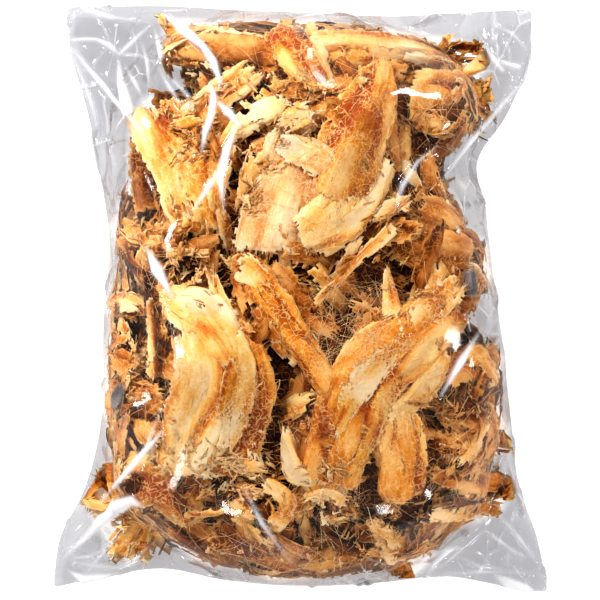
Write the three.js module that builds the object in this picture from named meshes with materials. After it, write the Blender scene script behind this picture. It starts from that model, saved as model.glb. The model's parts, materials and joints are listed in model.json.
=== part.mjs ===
// A clear flat bag of dried stockfish fillet pieces, sealed on all four sides and lying on its back.
// The pack is one closed solid: the outer form of the film, drawn tight over the pieces inside it.
// The film is held up along the back of each main piece and falls away from it in straight slopes, pinches in
// along the seams, and lies flat with fanned creases in the four empty corners.
// Millimetres. +X is the bag's right as it is read, +Y its top, +Z up from the surface that it lies on.
import * as THREE from "three";

// Driving dimensions
const PACK_DEPTH = 74; // from the surface to the fill's broad top, before the pieces raise the film
const SEAL_WIDTH = 5; // the welded strip along each edge
const SEAL_THICKNESS = 1.2; // both films together, thickened to a solid
const FLOOR_DEPTH = 58; // how far the back would bulge below the seams if the surface were not there
const FILL_REACH = 0.985; // share of the half width and half height that the fill takes up
const FILL_CORNER = 2.7; // exponent of the fill's rounded outline: higher leaves smaller empty corners
const SHOULDER = 0.52; // exponent of the fill's edge: lower makes the sides steeper
const FLOOR_SHOULDER = 0.42; // the same for the back, which spreads on the surface
const FILM_SLOPE = 0.5; // how steeply the film falls away from a piece that holds it up
const TOP_STEPS = { across: 60, along: 70 }; // cells of the upper film; the back has half as many
const CROWDING = 0.45; // how far the cells crowd towards the sides: 0 spaces them evenly
const NORMAL_REACH = 0.004; // share of the width and height over which the film's normal is taken

// How fast each thing sets in as the fill deepens from its edge: the end of the empty film, the pieces' lift, and
// the push square to the film
const ONSET = { fill: 3, pieces: 1.6, push: 4 };

// The four seams from their left or lower end: x and y as seen from above, z the height above the surface.
const LEFT_SEAM = [
  [-130.3, -151.5, 5], [-126, -124, 9], [-113, -99, 17], [-103.5, -62, 27], [-102, -8, 31],
  [-99, 28, 30], [-102.5, 56, 28], [-110, 93, 20], [-120.5, 131, 11], [-122.5, 153.7, 6],
];
const RIGHT_SEAM = [
  [130.3, -153.7, 5], [124, -124, 9], [114.5, -99, 17], [110, -67, 26], [105, -26, 31],
  [100, 11, 32], [95.5, 48, 29], [91.5, 71, 26], [107.5, 96, 19], [119, 124, 11], [122, 153, 6],
];
const BOTTOM_SEAM = [
  [-130.3, -151.5, 5], [-107, -146, 8], [-72, -140.5, 14], [-40, -146, 19], [0, -149, 21],
  [40, -147.5, 20], [76, -144.5, 15], [106, -150, 9], [130.3, -153.7, 5],
];
const TOP_SEAM = [
  [-122.5, 153.7, 6], [-72, 154, 12], [-36, 151.5, 18], [6, 149.5, 21], [48, 148, 20],
  [88, 150.5, 13], [122, 153, 6],
];

// The main pieces that hold the film up: where the back of each runs, from end to end, how far it lifts the film at
// either end, and the half width over which the film lies flat on it.
const PIECES = {
  crown_stick: { from: [-68, 132], to: [-6, 131], lift: [8, 5.5], half: 6 },
  crown_stub: { from: [-6, 140], to: [8, 106], lift: [13.5, 8], half: 6 },
  crown_fillet: { from: [12, 133], to: [86, 124], lift: [11, 5.5], half: 7 },
  shoulder_block: { from: [56, 104], to: [90, 100], lift: [7, 12], half: 8 },
  broad_plate: { from: [-28, 48], to: [16, 88], lift: [5.5, 11], half: 17 },
  amber_fold: { from: [2, 34], to: [44, 112], lift: [15, 9.5], half: 5 },
  left_arm: { from: [-84, 94], to: [-58, 36], lift: [12, 5.5], half: 7 },
  left_spray: { from: [-60, 96], to: [-12, 98], lift: [8, 12], half: 5 },
  left_blade: { from: [-54, 40], to: [-34, 86], lift: [13.5, 9.5], half: 3 },
  left_shelf: { from: [-94, 30], to: [-60, 22], lift: [4, 8], half: 8 },
  keel: { from: [-34, 22], to: [12, -38], lift: [8, 16], half: 6 },
  thin_blade: { from: [12, 4], to: [38, 36], lift: [12, 8], half: 2 },
  right_lobe: { from: [62, 30], to: [92, 18], lift: [9.5, 5.5], half: 9 },
  gold_curl_top: { from: [-58, 4], to: [-38, -30], lift: [9.5, 16], half: 9 },
  gold_curl_foot: { from: [-38, -30], to: [-58, -88], lift: [16, 7], half: 14 },
  left_block: { from: [-98, -46], to: [-74, -66], lift: [9.5, 5.5], half: 8 },
  great_fillet_top: { from: [74, 2], to: [28, -44], lift: [8, 17.5], half: 12 },
  great_fillet_foot: { from: [28, -44], to: [12, -92], lift: [17.5, 8], half: 12 },
  tongue: { from: [48, -62], to: [58, -98], lift: [8, 12], half: 9 },
  right_fan: { from: [74, -46], to: [104, -28], lift: [7, 11], half: 8 },
  right_roll: { from: [78, -80], to: [106, -68], lift: [11, 7], half: 8 },
  right_stick: { from: [66, -104], to: [106, -98], lift: [5.5, 9.5], half: 6 },
  lower_fan: { from: [-102, -98], to: [-66, -104], lift: [11, 7], half: 8 },
  fan_tips: { from: [-88, -112], to: [-84, -130], lift: [5.5, 9.5], half: 6 },
  knob: { from: [-20, -106], to: [-10, -112], lift: [12, 11], half: 7 },
  bottom_slab: { from: [-60, -126], to: [0, -132], lift: [9.5, 4], half: 8 },
  bottom_crust: { from: [18, -132], to: [62, -136], lift: [5.5, 9.5], half: 8 },
};
// Corners of smaller pieces that push the film up into points, spread evenly over the fill
const POINTS = { count: 72, lift: [4, 13], slope: 0.6, seed: 7 };

// Creases that fan out over each empty corner, from a star of folds. The sign of lift says ridge or furrow.
const STARS = [
  { at: [-94, 127], arms: [[-121, 134], [-108, 150], [-77, 143], [-71, 122], [-93, 96], [-84, 108]], lift: 3.4 },
  { at: [104, 128], arms: [[118, 146], [90, 140], [116, 116], [92, 112], [108, 103]], lift: 3.2 },
  { at: [-112, -134], arms: [[-125, -124], [-128, -148], [-98, -142], [-100, -118], [-114, -108]], lift: 3.2 },
  { at: [110, -130], arms: [[127, -136], [118, -112], [96, -120], [88, -138], [112, -148]], lift: 3.4 },
];
// Long creases that cross the film from a corner or a seam on to the fill
const CREASES = [
  { from: [-121, 132], to: [-78, 82], lift: 3.2 },
  { from: [-69, 148], to: [-46, 108], lift: 3 },
  { from: [-66, 96], to: [-50, 124], lift: -2 },
  { from: [-58, 110], to: [-40, 90], lift: 2.6 },
  { from: [-62, 30], to: [-42, 84], lift: 2.6 },
  { from: [118, 116], to: [74, 66], lift: 3.4 },
  { from: [96, 50], to: [80, 30], lift: 2 },
  { from: [70, -44], to: [94, -14], lift: 2.6 },
  { from: [-119, -126], to: [-86, -98], lift: 3.2 },
  { from: [-90, -92], to: [-64, -64], lift: 2.4 },
  { from: [-112, -66], to: [-90, -8], lift: 2 },
  { from: [68, -136], to: [90, -112], lift: 2.6 },
  { from: [-18, -104], to: [12, -138], lift: 2.4 },
  { from: [28, 148], to: [52, 128], lift: 2.4 },
];
const CREASE_HALF_WIDTH = 4.5;
// Puckers gathered square to each seam where the fill pulls it in
const PUCKERS = { pitch: 17, lift: 2.2, reach: 22, inCorners: 0.6 };

const clamp01 = (x) => THREE.MathUtils.clamp(x, 0, 1);

function seamCurve(points) {
  return new THREE.CatmullRomCurve3(points.map((p) => new THREE.Vector3(...p)), false, "centripetal");
}

// Distance in plan from a point to the stretch between two others, and how far along it the nearest point is.
function toStretch(x, y, [ax, ay], [bx, by]) {
  const dx = bx - ax;
  const dy = by - ay;
  const along = clamp01(((x - ax) * dx + (y - ay) * dy) / (dx * dx + dy * dy));
  return { away: Math.hypot(x - ax - along * dx, y - ay - along * dy), along };
}

// Grid lines across or along the film: an edge, the weld's inner border, then cells that crowd towards the sides.
function gridLines(cells, length) {
  const weld = SEAL_WIDTH / length;
  const lines = [0, weld];
  for (let i = 1; i < cells - 2; i++) {
    const even = i / (cells - 2);
    const crowded = 0.5 - 0.5 * Math.cos(Math.PI * even);
    lines.push(weld + (1 - 2 * weld) * THREE.MathUtils.lerp(even, crowded, CROWDING));
  }
  lines.push(1 - weld, 1);
  return lines;
}

// The seam sheet: a Coons patch between the four seams, where the two films would meet if the bag were empty.
function seamSheet() {
  const left = seamCurve(LEFT_SEAM);
  const right = seamCurve(RIGHT_SEAM);
  const bottom = seamCurve(BOTTOM_SEAM);
  const top = seamCurve(TOP_SEAM);
  const corner = [[bottom.getPointAt(0), bottom.getPointAt(1)], [top.getPointAt(0), top.getPointAt(1)]];
  return (u, v) => {
    const across = bottom.getPointAt(u).lerp(top.getPointAt(u), v);
    const along = left.getPointAt(v).lerp(right.getPointAt(v), u);
    const plain = corner[0][0].clone().lerp(corner[0][1], u).lerp(corner[1][0].clone().lerp(corner[1][1], u), v);
    return across.add(along).sub(plain);
  };
}

// 0 at the weld and in the empty corners, 1 in the middle of the fill.
function fillShare(u, v, shoulder) {
  const reach = (t) => (Math.abs(2 * t - 1) / FILL_REACH) ** FILL_CORNER;
  return Math.max(0, 1 - reach(u) - reach(v)) ** shoulder;
}

// The nth term of the Halton sequence in a base: evenly spread numbers from 0 to 1.
function halton(n, base) {
  let value = 0;
  for (let share = 1 / base; n > 0; n = Math.floor(n / base), share /= base) value += share * (n % base);
  return value;
}

const points = Array.from({ length: POINTS.count }, (_, i) => {
  const n = i + POINTS.seed;
  return {
    x: (halton(n, 2) - 0.5) * 2 * FILL_REACH * RIGHT_SEAM[4][0],
    y: (halton(n, 3) - 0.5) * 2 * FILL_REACH * TOP_SEAM[3][1],
    lift: THREE.MathUtils.lerp(...POINTS.lift, halton(n, 5)),
  };
});

// How far the pieces lift the film above the fill: flat along each piece's back, then a straight slope away.
function liftByPieces(x, y) {
  let height = 0;
  for (const { from, to, lift, half } of Object.values(PIECES)) {
    const { away, along } = toStretch(x, y, from, to);
    height = Math.max(height, THREE.MathUtils.lerp(...lift, along) - FILM_SLOPE * Math.max(0, away - half));
  }
  for (const point of points)
    height = Math.max(height, point.lift - POINTS.slope * Math.hypot(x - point.x, y - point.y));
  return height;
}

// A crease stands as a ridge with straight sides that runs out to nothing at its far end.
function crease(x, y, from, to, lift) {
  const { away, along } = toStretch(x, y, from, to);
  return lift * clamp01(1 - away / CREASE_HALF_WIDTH) * Math.sqrt(1 - along);
}

function creases(x, y) {
  let height = 0;
  for (const { from, to, lift } of CREASES) height += crease(x, y, from, to, lift);
  for (const { at, arms, lift } of STARS) {
    const folds = arms.map((end, i) => crease(x, y, at, end, i % 3 === 2 ? -lift : lift));
    height += Math.max(0, ...folds) + Math.min(0, ...folds);
  }
  return height;
}

// A zigzag that dies out away from the seam.
function puckers(along, fromSeam) {
  const phase = along / PUCKERS.pitch;
  const zigzag = 1 - 4 * Math.abs(phase - Math.floor(phase) - 0.5);
  return PUCKERS.lift * zigzag * clamp01(1 - fromSeam / PUCKERS.reach) * clamp01(fromSeam / SEAL_WIDTH - 1);
}

// The upper film over one point of the seam sheet, as it would lie over an even fill.
function evenTop(sheet, u, v) {
  const p = sheet(u, v);
  p.z += SEAL_THICKNESS / 2 + (PACK_DEPTH - p.z) * fillShare(u, v, SHOULDER);
  return p;
}

// The upper film's outward normal there.
function evenNormal(sheet, u, v) {
  const step = NORMAL_REACH;
  const across = evenTop(sheet, Math.min(1, u + step), v).sub(evenTop(sheet, Math.max(0, u - step), v));
  const along = evenTop(sheet, u, Math.min(1, v + step)).sub(evenTop(sheet, u, Math.max(0, v - step)));
  return across.cross(along).normalize();
}

// The two films over one point of the seam sheet. Over the fill the upper one is pushed out square to itself, so
// that pieces show in the sides as well; in the empty corners both films fold together.
function filmsAt(sheet, u, v, width, height) {
  const seam = sheet(u, v);
  const full = fillShare(u, v, SHOULDER);
  const toSide = Math.min(u, 1 - u) * width;
  const toEnd = Math.min(v, 1 - v) * height;
  const weld = clamp01((Math.min(toSide, toEnd) - SEAL_WIDTH) / SEAL_WIDTH);
  const empty = weld * (1 - clamp01(full * ONSET.fill)); // 1 where only film is, 0 over the fill
  const folds = weld * creases(seam.x, seam.y);
  const gathers = puckers(seam.y, toSide) + puckers(seam.x, toEnd);
  const together = empty * (folds + PUCKERS.inCorners * gathers);

  const dip = FLOOR_DEPTH * fillShare(u, v, FLOOR_SHOULDER);
  const low = seam.z + together - SEAL_THICKNESS / 2 - dip - (1 - empty) * gathers;
  const bottom = new THREE.Vector3(seam.x, seam.y, Math.max(0, low));

  const lifted = liftByPieces(seam.x, seam.y) * clamp01(full * ONSET.pieces);
  const pushed = (lifted + (1 - empty) * (folds + gathers)) * clamp01(full * ONSET.push);
  const top = evenTop(sheet, u, v).addScaledVector(evenNormal(sheet, u, v), pushed);
  top.z += together;
  top.z = Math.max(top.z, bottom.z + SEAL_THICKNESS);
  return { top: top.toArray(), bottom: bottom.toArray() };
}

// Both films and the rim between them as one closed geometry. The back is drawn with cells twice as large, and
// its outermost cells are fans that meet the rim's finer steps.
function bagGeometry() {
  const { across, along } = TOP_STEPS;
  const sheet = seamSheet();
  const width = LEFT_SEAM[0][0] * -2;
  const height = TOP_SEAM[0][1] * 2;
  const us = gridLines(across, width);
  const vs = gridLines(along, height);
  const grid = us.map((u) => vs.map((v) => filmsAt(sheet, u, v, width, height)));
  const positions = [];
  const corner = (i, j, side) => grid[i][j][side];
  const triangle = (a, b, c) => positions.push(...a, ...b, ...c);
  // A cell is split along its flatter diagonal, so that a crease isn't cut into teeth.
  const cell = (a, b, c, d) => {
    if (Math.abs(a[2] - c[2]) < Math.abs(b[2] - d[2])) {
      triangle(a, b, c);
      triangle(a, c, d);
    } else {
      triangle(a, b, d);
      triangle(b, c, d);
    }
  };

  for (let i = 0; i < across; i++)
    for (let j = 0; j < along; j++)
      cell(...[[i, j], [i + 1, j], [i + 1, j + 1], [i, j + 1]].map(([p, q]) => corner(p, q, "top")));

  for (let i = 0; i < across; i += 2)
    for (let j = 0; j < along; j += 2) {
      const ring = [
        [i, j], [i, j + 1, i === 0], [i, j + 2], [i + 1, j + 2, j + 2 === along],
        [i + 2, j + 2], [i + 2, j + 1, i + 2 === across], [i + 2, j], [i + 1, j, j === 0],
      ].filter(([, , onRim = true]) => onRim).map(([p, q]) => corner(p, q, "bottom"));
      if (ring.length === 4) cell(...ring);
      else {
        const hub = corner(i + 1, j + 1, "bottom");
        ring.forEach((p, k) => triangle(hub, p, ring[(k + 1) % ring.length]));
      }
    }

  const rim = [];
  for (let i = 0; i < across; i++) rim.push([i, 0]);
  for (let j = 0; j < along; j++) rim.push([across, j]);
  for (let i = across; i > 0; i--) rim.push([i, along]);
  for (let j = along; j > 0; j--) rim.push([0, j]);
  rim.forEach(([i, j], k) => {
    const [p, q] = rim[(k + 1) % rim.length];
    triangle(corner(i, j, "bottom"), corner(p, q, "bottom"), corner(p, q, "top"));
    triangle(corner(i, j, "bottom"), corner(p, q, "top"), corner(i, j, "top"));
  });

  const geometry = new THREE.BufferGeometry();
  geometry.setAttribute("position", new THREE.Float32BufferAttribute(positions, 3));
  geometry.computeBoundingBox();
  const middle = geometry.boundingBox.getCenter(new THREE.Vector3());
  geometry.translate(-middle.x, -middle.y, -geometry.boundingBox.min.z);
  geometry.computeVertexNormals();
  return geometry;
}

const film = new THREE.MeshStandardMaterial({ color: 0xd29a58, roughness: 0.3, metalness: 0 });
const bag = new THREE.Mesh(bagGeometry(), film);
bag.name = "bag";

const stockfishPack = new THREE.Group();
stockfishPack.add(bag);

export default stockfishPack;
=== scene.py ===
"""A clear flat bag, sealed on all four sides and packed with dried stockfish fillet pieces.

The bag lies on its back and the camera looks straight down on it. The film and everything in it stand for
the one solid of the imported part. Metres throughout; +X is the bag's right, +Y its top, +Z up.
"""

import json
import math
import random
from contextlib import contextmanager

import bpy
import numpy as np
from mathutils import Matrix, Vector, noise
from mathutils.bvhtree import BVHTree

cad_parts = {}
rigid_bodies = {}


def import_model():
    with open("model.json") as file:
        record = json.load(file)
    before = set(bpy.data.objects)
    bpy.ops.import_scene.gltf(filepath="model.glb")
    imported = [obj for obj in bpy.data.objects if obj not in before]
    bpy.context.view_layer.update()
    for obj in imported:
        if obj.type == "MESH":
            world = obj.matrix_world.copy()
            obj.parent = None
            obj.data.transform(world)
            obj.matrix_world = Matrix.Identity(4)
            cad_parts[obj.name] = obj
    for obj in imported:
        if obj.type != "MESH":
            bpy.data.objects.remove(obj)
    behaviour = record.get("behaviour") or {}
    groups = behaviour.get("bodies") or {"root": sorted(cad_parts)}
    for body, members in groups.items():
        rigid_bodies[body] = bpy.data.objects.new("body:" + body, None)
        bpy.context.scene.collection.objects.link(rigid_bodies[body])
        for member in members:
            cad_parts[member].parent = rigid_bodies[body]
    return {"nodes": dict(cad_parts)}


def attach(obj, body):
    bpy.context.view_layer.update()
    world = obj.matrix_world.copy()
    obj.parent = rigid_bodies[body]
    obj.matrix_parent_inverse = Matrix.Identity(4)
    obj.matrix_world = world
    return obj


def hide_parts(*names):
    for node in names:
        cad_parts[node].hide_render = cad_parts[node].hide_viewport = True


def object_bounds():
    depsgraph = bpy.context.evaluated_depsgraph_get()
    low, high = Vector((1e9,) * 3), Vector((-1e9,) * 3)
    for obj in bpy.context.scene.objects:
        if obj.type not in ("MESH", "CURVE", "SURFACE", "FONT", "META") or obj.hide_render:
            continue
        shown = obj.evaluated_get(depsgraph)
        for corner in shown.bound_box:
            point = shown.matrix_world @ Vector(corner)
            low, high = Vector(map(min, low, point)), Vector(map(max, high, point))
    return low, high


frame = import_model()
CAD_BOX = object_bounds()

MM = 0.001
BAG = frame["nodes"]["bag"]

# The photograph's frame: 600 pixels square, seen from straight above
IMAGE_SIZE = 600
PIXEL = 0.52 * MM  # what one pixel covers at the height of the seams
SEAM_HEIGHT = 20 * MM
MIDDLE_PIXEL = (300.5, 299.5)  # the pixel over the bag's middle
CAMERA_HEIGHT = 1.7
SENSOR = 36.0
EYE = Vector((
    (IMAGE_SIZE / 2 - MIDDLE_PIXEL[0]) * PIXEL, (MIDDLE_PIXEL[1] - IMAGE_SIZE / 2) * PIXEL, CAMERA_HEIGHT,
))


# ---------------------------------------------------------------- camera, floor and light

def set_camera():
    """A long lens straight above the bag."""
    data = bpy.data.cameras.new("camera")
    data.sensor_width = SENSOR
    data.lens = SENSOR * (CAMERA_HEIGHT - SEAM_HEIGHT) / (IMAGE_SIZE * PIXEL)
    camera = bpy.data.objects.new("camera", data)
    camera.location = EYE
    bpy.context.scene.collection.objects.link(camera)
    bpy.context.scene.camera = camera


def softbox(name, azimuth, slant, size, power):
    """A rectangular lamp that looks at the bag. Azimuth 0 is the bag's top and 90 its right."""
    data = bpy.data.lights.new(name, "AREA")
    data.shape = "RECTANGLE"
    data.size, data.size_y = size
    data.energy = power
    lamp = bpy.data.objects.new(name, data)
    a, s = math.radians(azimuth), math.radians(slant)
    place = Vector((math.sin(a) * math.sin(s), math.cos(a) * math.sin(s), math.cos(s))) * LAMP_REACH
    lamp.location = place
    lamp.rotation_euler = (-place).to_track_quat("-Z", "Y").to_euler()
    bpy.context.scene.collection.objects.link(lamp)


# Soft boxes round the bag: azimuth and slant in degrees, size in metres, power in watts. The low ones
# glint in the folds of the film. The key is in two halves, since the smooth film would mirror it as a
# blot: one, like the fill, isn't mirrored by anything, and the other shines on the flesh and not on the
# film.
SOFTBOXES = {
    "key": (-38, 47, (0.30, 0.24), 10.0),
    "fill": (125, 45, (0.50, 0.40), 4.0),
    "key_gloss": (-38, 47, (0.30, 0.24), 5.2),
    "top": (5, 64, (0.07, 0.22), 1.0),
    "upper_right": (44, 62, (0.08, 0.26), 2.2),
    "right": (92, 64, (0.06, 0.22), 1.1),
    "lower_right": (134, 62, (0.07, 0.26), 1.4),
    "bottom": (182, 64, (0.05, 0.22), 0.6),
    "lower_left": (-136, 62, (0.06, 0.26), 1.1),
    "left": (-92, 64, (0.06, 0.22), 1.2),
    "upper_left": (-48, 62, (0.09, 0.26), 2.6),
}
LAMP_REACH = 1.2
SKY = 0.45  # at the horizon; the room is dark overhead, so that the film lies clear over its contents
HORIZON = (0.55, (1.0, 0.99, 0.98, 1))  # the sky's heights, from 0 below to 1 overhead, and their colours
OVERHEAD = (0.92, (0.12, 0.12, 0.12, 1))
PAPER = (0.5, 0.5, 0.5, 1)
PAPER_GLOW = 0.68  # the white ground is lit from below as well, so that it stays white under the clear film


def set_light():
    """Sets the soft boxes, the grey sky and how the picture is toned."""
    for name, (azimuth, slant, size, power) in SOFTBOXES.items():
        softbox(name, azimuth, slant, size, power)
    for name in ("key", "fill"):
        bpy.data.objects[name].visible_glossy = False
    world = bpy.data.worlds.new("studio")
    world.use_nodes = True
    nodes, links = world.node_tree.nodes, world.node_tree.links
    background = nodes["Background"]
    direction = nodes.new("ShaderNodeTexCoord")
    apart = nodes.new("ShaderNodeSeparateXYZ")
    height = nodes.new("ShaderNodeValToRGB")
    for element, (position, colour) in zip(height.color_ramp.elements, (HORIZON, OVERHEAD)):
        element.position, element.color = position, colour
    links.new(direction.outputs["Generated"], apart.inputs[0])
    links.new(apart.outputs["Z"], height.inputs["Fac"])
    links.new(height.outputs["Color"], background.inputs["Color"])
    background.inputs["Strength"].default_value = SKY
    bpy.context.scene.world = world
    bpy.context.scene.view_settings.view_transform = "Standard"
    bpy.context.scene.view_settings.look = "Medium High Contrast"


def keep_gloss_off(piece):
    """Keeps the glossy half of the key from a piece."""
    clear = bpy.data.collections.new("clear")
    bpy.data.objects["key_gloss"].light_linking.receiver_collection = clear
    clear.objects.link(piece)
    clear.collection_objects[0].light_linking.link_state = "EXCLUDE"


def clear_selection():
    """Leaves edit mode, with nothing selected."""
    if bpy.context.object and bpy.context.object.mode != "OBJECT":
        bpy.ops.object.mode_set(mode="OBJECT")
    bpy.ops.object.select_all(action="DESELECT")


@contextmanager
def edit_mode():
    """Steps in edit mode on the object at hand."""
    bpy.ops.object.mode_set(mode="EDIT")
    yield
    bpy.ops.object.mode_set(mode="OBJECT")


def make_floor():
    """The white ground, just below the bag."""
    clear_selection()
    bpy.ops.mesh.primitive_plane_add(size=6, location=(0, 0, -0.2 * MM))
    floor = bpy.context.object
    floor.name = "floor"
    mat = bpy.data.materials.new("white_paper")
    mat.use_nodes = True
    shader = mat.node_tree.nodes["Principled BSDF"]
    shader.inputs["Base Color"].default_value = PAPER
    shader.inputs["Roughness"].default_value = 0.9
    shader.inputs["Specular IOR Level"].default_value = 0.1
    shader.inputs["Emission Color"].default_value = (1, 1, 1, 1)
    shader.inputs["Emission Strength"].default_value = PAPER_GLOW
    floor.data.materials.append(mat)


# ---------------------------------------------------------------- where a pixel lies in the bag

WELD = 0.05 * MM
LOWEST = 3 * MM  # no laid piece has its middle below this height


def copy_of_bag(name):
    """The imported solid's form as one welded mesh, in an object of its own."""
    clear_selection()
    shell = bpy.data.objects.new(name, BAG.data.copy())
    bpy.context.scene.collection.objects.link(shell)
    shell.select_set(True)
    bpy.context.view_layer.objects.active = shell
    with edit_mode():
        bpy.ops.mesh.select_all(action="SELECT")
        bpy.ops.mesh.remove_doubles(threshold=WELD)
        bpy.ops.mesh.tris_convert_to_quads()
    return shell


PLUMP = (55 * MM, 45 * MM)  # the film is smoothed over the pile, fully from the first height up
EASING = 90  # rounds of smoothing


def subdivide_once(obj, name):
    """Cuts every face of a sheet into four."""
    step = obj.modifiers.new(name, "SUBSURF")
    step.levels = step.render_levels = 1
    bpy.ops.object.modifier_apply(modifier=name)


def film_form():
    """The film's own form before it is folded: the solid's, eased where it is stretched over the pile."""
    film = copy_of_bag("film")
    subdivide_once(film, "first")
    stretched = film.vertex_groups.new(name="stretched")
    for vertex in film.data.vertices:
        share = (vertex.co.z - PLUMP[1]) / (PLUMP[0] - PLUMP[1])
        if share > 0:
            stretched.add([vertex.index], min(1, share), "REPLACE")
    ease = film.modifiers.new("ease", "SMOOTH")
    ease.factor = 0.5
    ease.iterations = EASING
    ease.vertex_group = "stretched"
    bpy.ops.object.modifier_apply(modifier="ease")
    film.vertex_groups.clear()
    return film


FILM = film_form()
FILM_TREE = BVHTree.FromPolygons(
    [v.co for v in FILM.data.vertices], [p.vertices[:] for p in FILM.data.polygons])


def under_film(px, py, sink):
    """The point that the camera sees at a pixel, sink millimetres below the film's top there."""
    on_seams = Vector(((px - MIDDLE_PIXEL[0]) * PIXEL, (MIDDLE_PIXEL[1] - py) * PIXEL, SEAM_HEIGHT))
    sight = (on_seams - EYE).normalized()
    hit = FILM_TREE.ray_cast(EYE, sight)[0]
    top = hit.z if hit else SEAM_HEIGHT
    height = max(LOWEST, top - sink * MM)
    return EYE + sight * ((height - EYE.z) / sight.z)


def pressed_inside(co, margins):
    """The points, with whatever would come through the film pressed back to its margin inside it."""
    co = co.copy()
    for i, (x, y, z) in enumerate(co.tolist()):
        point = Vector((x, y, z))
        near, normal, _, _ = FILM_TREE.find_nearest(point)
        depth = (near - point).dot(normal)
        if depth < margins[i]:
            co[i] = near - normal * margins[i]
    return co


# ---------------------------------------------------------------- the fillet pieces

CELL = (1.5 * MM, 0.75 * MM)  # a sheet's cells along and across its fibres
THIN_EDGE = 2.6 * MM  # how far in from a torn edge a sheet thins out


def blank(length, width, cell):
    """A flat sheet with its fibres along X."""
    steps = (max(6, round(length / cell[0])), max(3, round(width / cell[1])))
    bpy.ops.mesh.primitive_grid_add(x_subdivisions=steps[0], y_subdivisions=steps[1], size=1)
    sheet = bpy.context.object
    sheet.scale = (length, width, 1)
    sheet.location = (length / 2, 0, 0)
    bpy.ops.object.transform_apply()
    return sheet, steps


def torn_mask(steps, length, width, torn, lace, taper, rng):
    """Which cells of a sheet are left: combed ends, ragged sides and slits between the fibres."""
    seed = rng.uniform(0, 90)
    i, j = np.meshgrid(np.arange(steps[0]), np.arange(steps[1]), indexing="ij")
    x = (i + 0.5) / steps[0] * length / MM
    y = ((j + 0.5) / steps[1] - 0.5) * width / MM
    kept = np.ones(steps, bool)
    half = width / MM / 2
    span = length / MM
    end_tear, side_tear = torn * min(1, span / 22), torn * min(1, half / 4)
    points = [rng.uniform(-0.5, 0.5) * half for _ in "ab"]  # where across its width each end comes to its tip
    rounding = taper * min(half, 0.3 * span)
    for a in range(steps[0]):
        for b in range(steps[1]):
            px, py = float(x[a, b]), float(y[a, b])
            comb = noise.noise((py * 1.1, seed, 3)) * 2.2 + noise.noise((py * 0.25, seed, 8)) * 3.5
            rag = noise.noise((px * 0.35, math.copysign(9, py), seed))
            rag += 0.8 * noise.noise((px * 0.1, py, seed))
            tip = points[px > span / 2]
            round_off = rounding * ((py - tip) / (half + abs(tip))) ** 2
            ends = min(px, span - px) - end_tear * (1.2 + comb) - round_off
            sides = half - abs(py) - side_tear * (0.6 + 2.1 * rag)
            slit = noise.noise((px * 0.07, py * 0.8, seed + 20))
            slit += 0.25 * noise.noise((px * 0.4, py * 0.4, seed))
            hole = noise.noise((px * 0.4, py * 0.5, seed + 40)) if lace else 0
            frayed = math.exp(-max(0, min(ends / 9, sides / 2.5)))
            slit_limit = 1.35 - 0.22 * torn - 0.5 * frayed
            kept[a, b] = ends > 0 and sides > 0 and slit < slit_limit and hole < 0.6 - 0.35 * lace
    return kept


def depth_in(kept, steps_in):
    """How many cells each corner of the sheet lies inside its torn outline, up to a limit."""
    depth = np.zeros((kept.shape[0] + 1, kept.shape[1] + 1))
    left = np.pad(kept, 1)
    for _ in range(steps_in):
        corner = left[:-1, :-1] & left[1:, :-1] & left[:-1, 1:] & left[1:, 1:]
        depth += corner
        left = np.pad(corner[1:, 1:] & corner[:-1, 1:] & corner[1:, :-1] & corner[:-1, :-1], 1)
    return depth


def read(items, name, width=1, kind=np.float32):
    """One value of every vertex, corner or face, as an array."""
    values = np.empty(len(items) * width, kind)
    items.foreach_get(name, values)
    return values.reshape(-1, width) if width > 1 else values


def write_values(mesh, name, kind, values):
    """Writes a named value at each point of a mesh."""
    layer = mesh.attributes.get(name) or mesh.attributes.new(name, kind, "POINT")
    layer.data.foreach_set("vector" if kind == "FLOAT_VECTOR" else "value", values.astype(np.float32).ravel())


def helper(name, data=None):
    """An object that modifiers are guided by, or a curve, until they are applied."""
    obj = bpy.data.objects.new(name, data)
    bpy.context.scene.collection.objects.link(obj)
    return obj


def apply_modifiers(obj):
    """Applies all the modifiers of the active piece, in their order."""
    for name in [modifier.name for modifier in obj.modifiers]:
        bpy.ops.object.modifier_apply(modifier=name)


def relief(obj, name, kind, size, stretch, strength, place):
    """Pushes the sheet up and down by a pattern that is drawn out along the fibres."""
    texture = bpy.data.textures.new(name, kind)
    texture.noise_scale = size
    if kind == "CLOUDS":
        texture.noise_depth = 1
    if kind == "VORONOI":
        texture.weight_1, texture.weight_2 = -1, 1  # facets that meet in sharp folds
    guide = helper(name)
    guide.location = place
    guide.scale = (stretch, 1, 1)
    push = obj.modifiers.new(name, "DISPLACE")
    push.texture = texture
    push.texture_coords = "OBJECT"
    push.texture_coords_object = guide
    push.strength = strength
    push.mid_level = 0.5
    return guide, texture


def spine(points, widths, tilt):
    """A curve through the sheet's middle, with the share of its full width at each point, and its length."""
    data = bpy.data.curves.new("spine", "CURVE")
    data.dimensions = "3D"
    data.twist_mode = "Z_UP"
    data.use_radius = True
    line = data.splines.new("NURBS")
    line.points.add(len(points) - 1)
    for i, point in enumerate(points):
        line.points[i].co = (*point, 1)
        line.points[i].radius = widths[i] / max(widths)
        line.points[i].tilt = math.radians(tilt)
    line.order_u = 3
    line.use_endpoint_u = True
    return helper("spine", data), line.calc_length()


def keep_linked(mesh, spot):
    """Deletes what isn't joined to the face nearest to a spot."""
    nearest = min(mesh.polygons, key=lambda face: (face.center - spot).length_squared)
    nearest.select = True
    with edit_mode():
        bpy.ops.mesh.select_linked()
        bpy.ops.mesh.select_all(action="INVERT")
        bpy.ops.mesh.delete(type="FACE")


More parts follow.
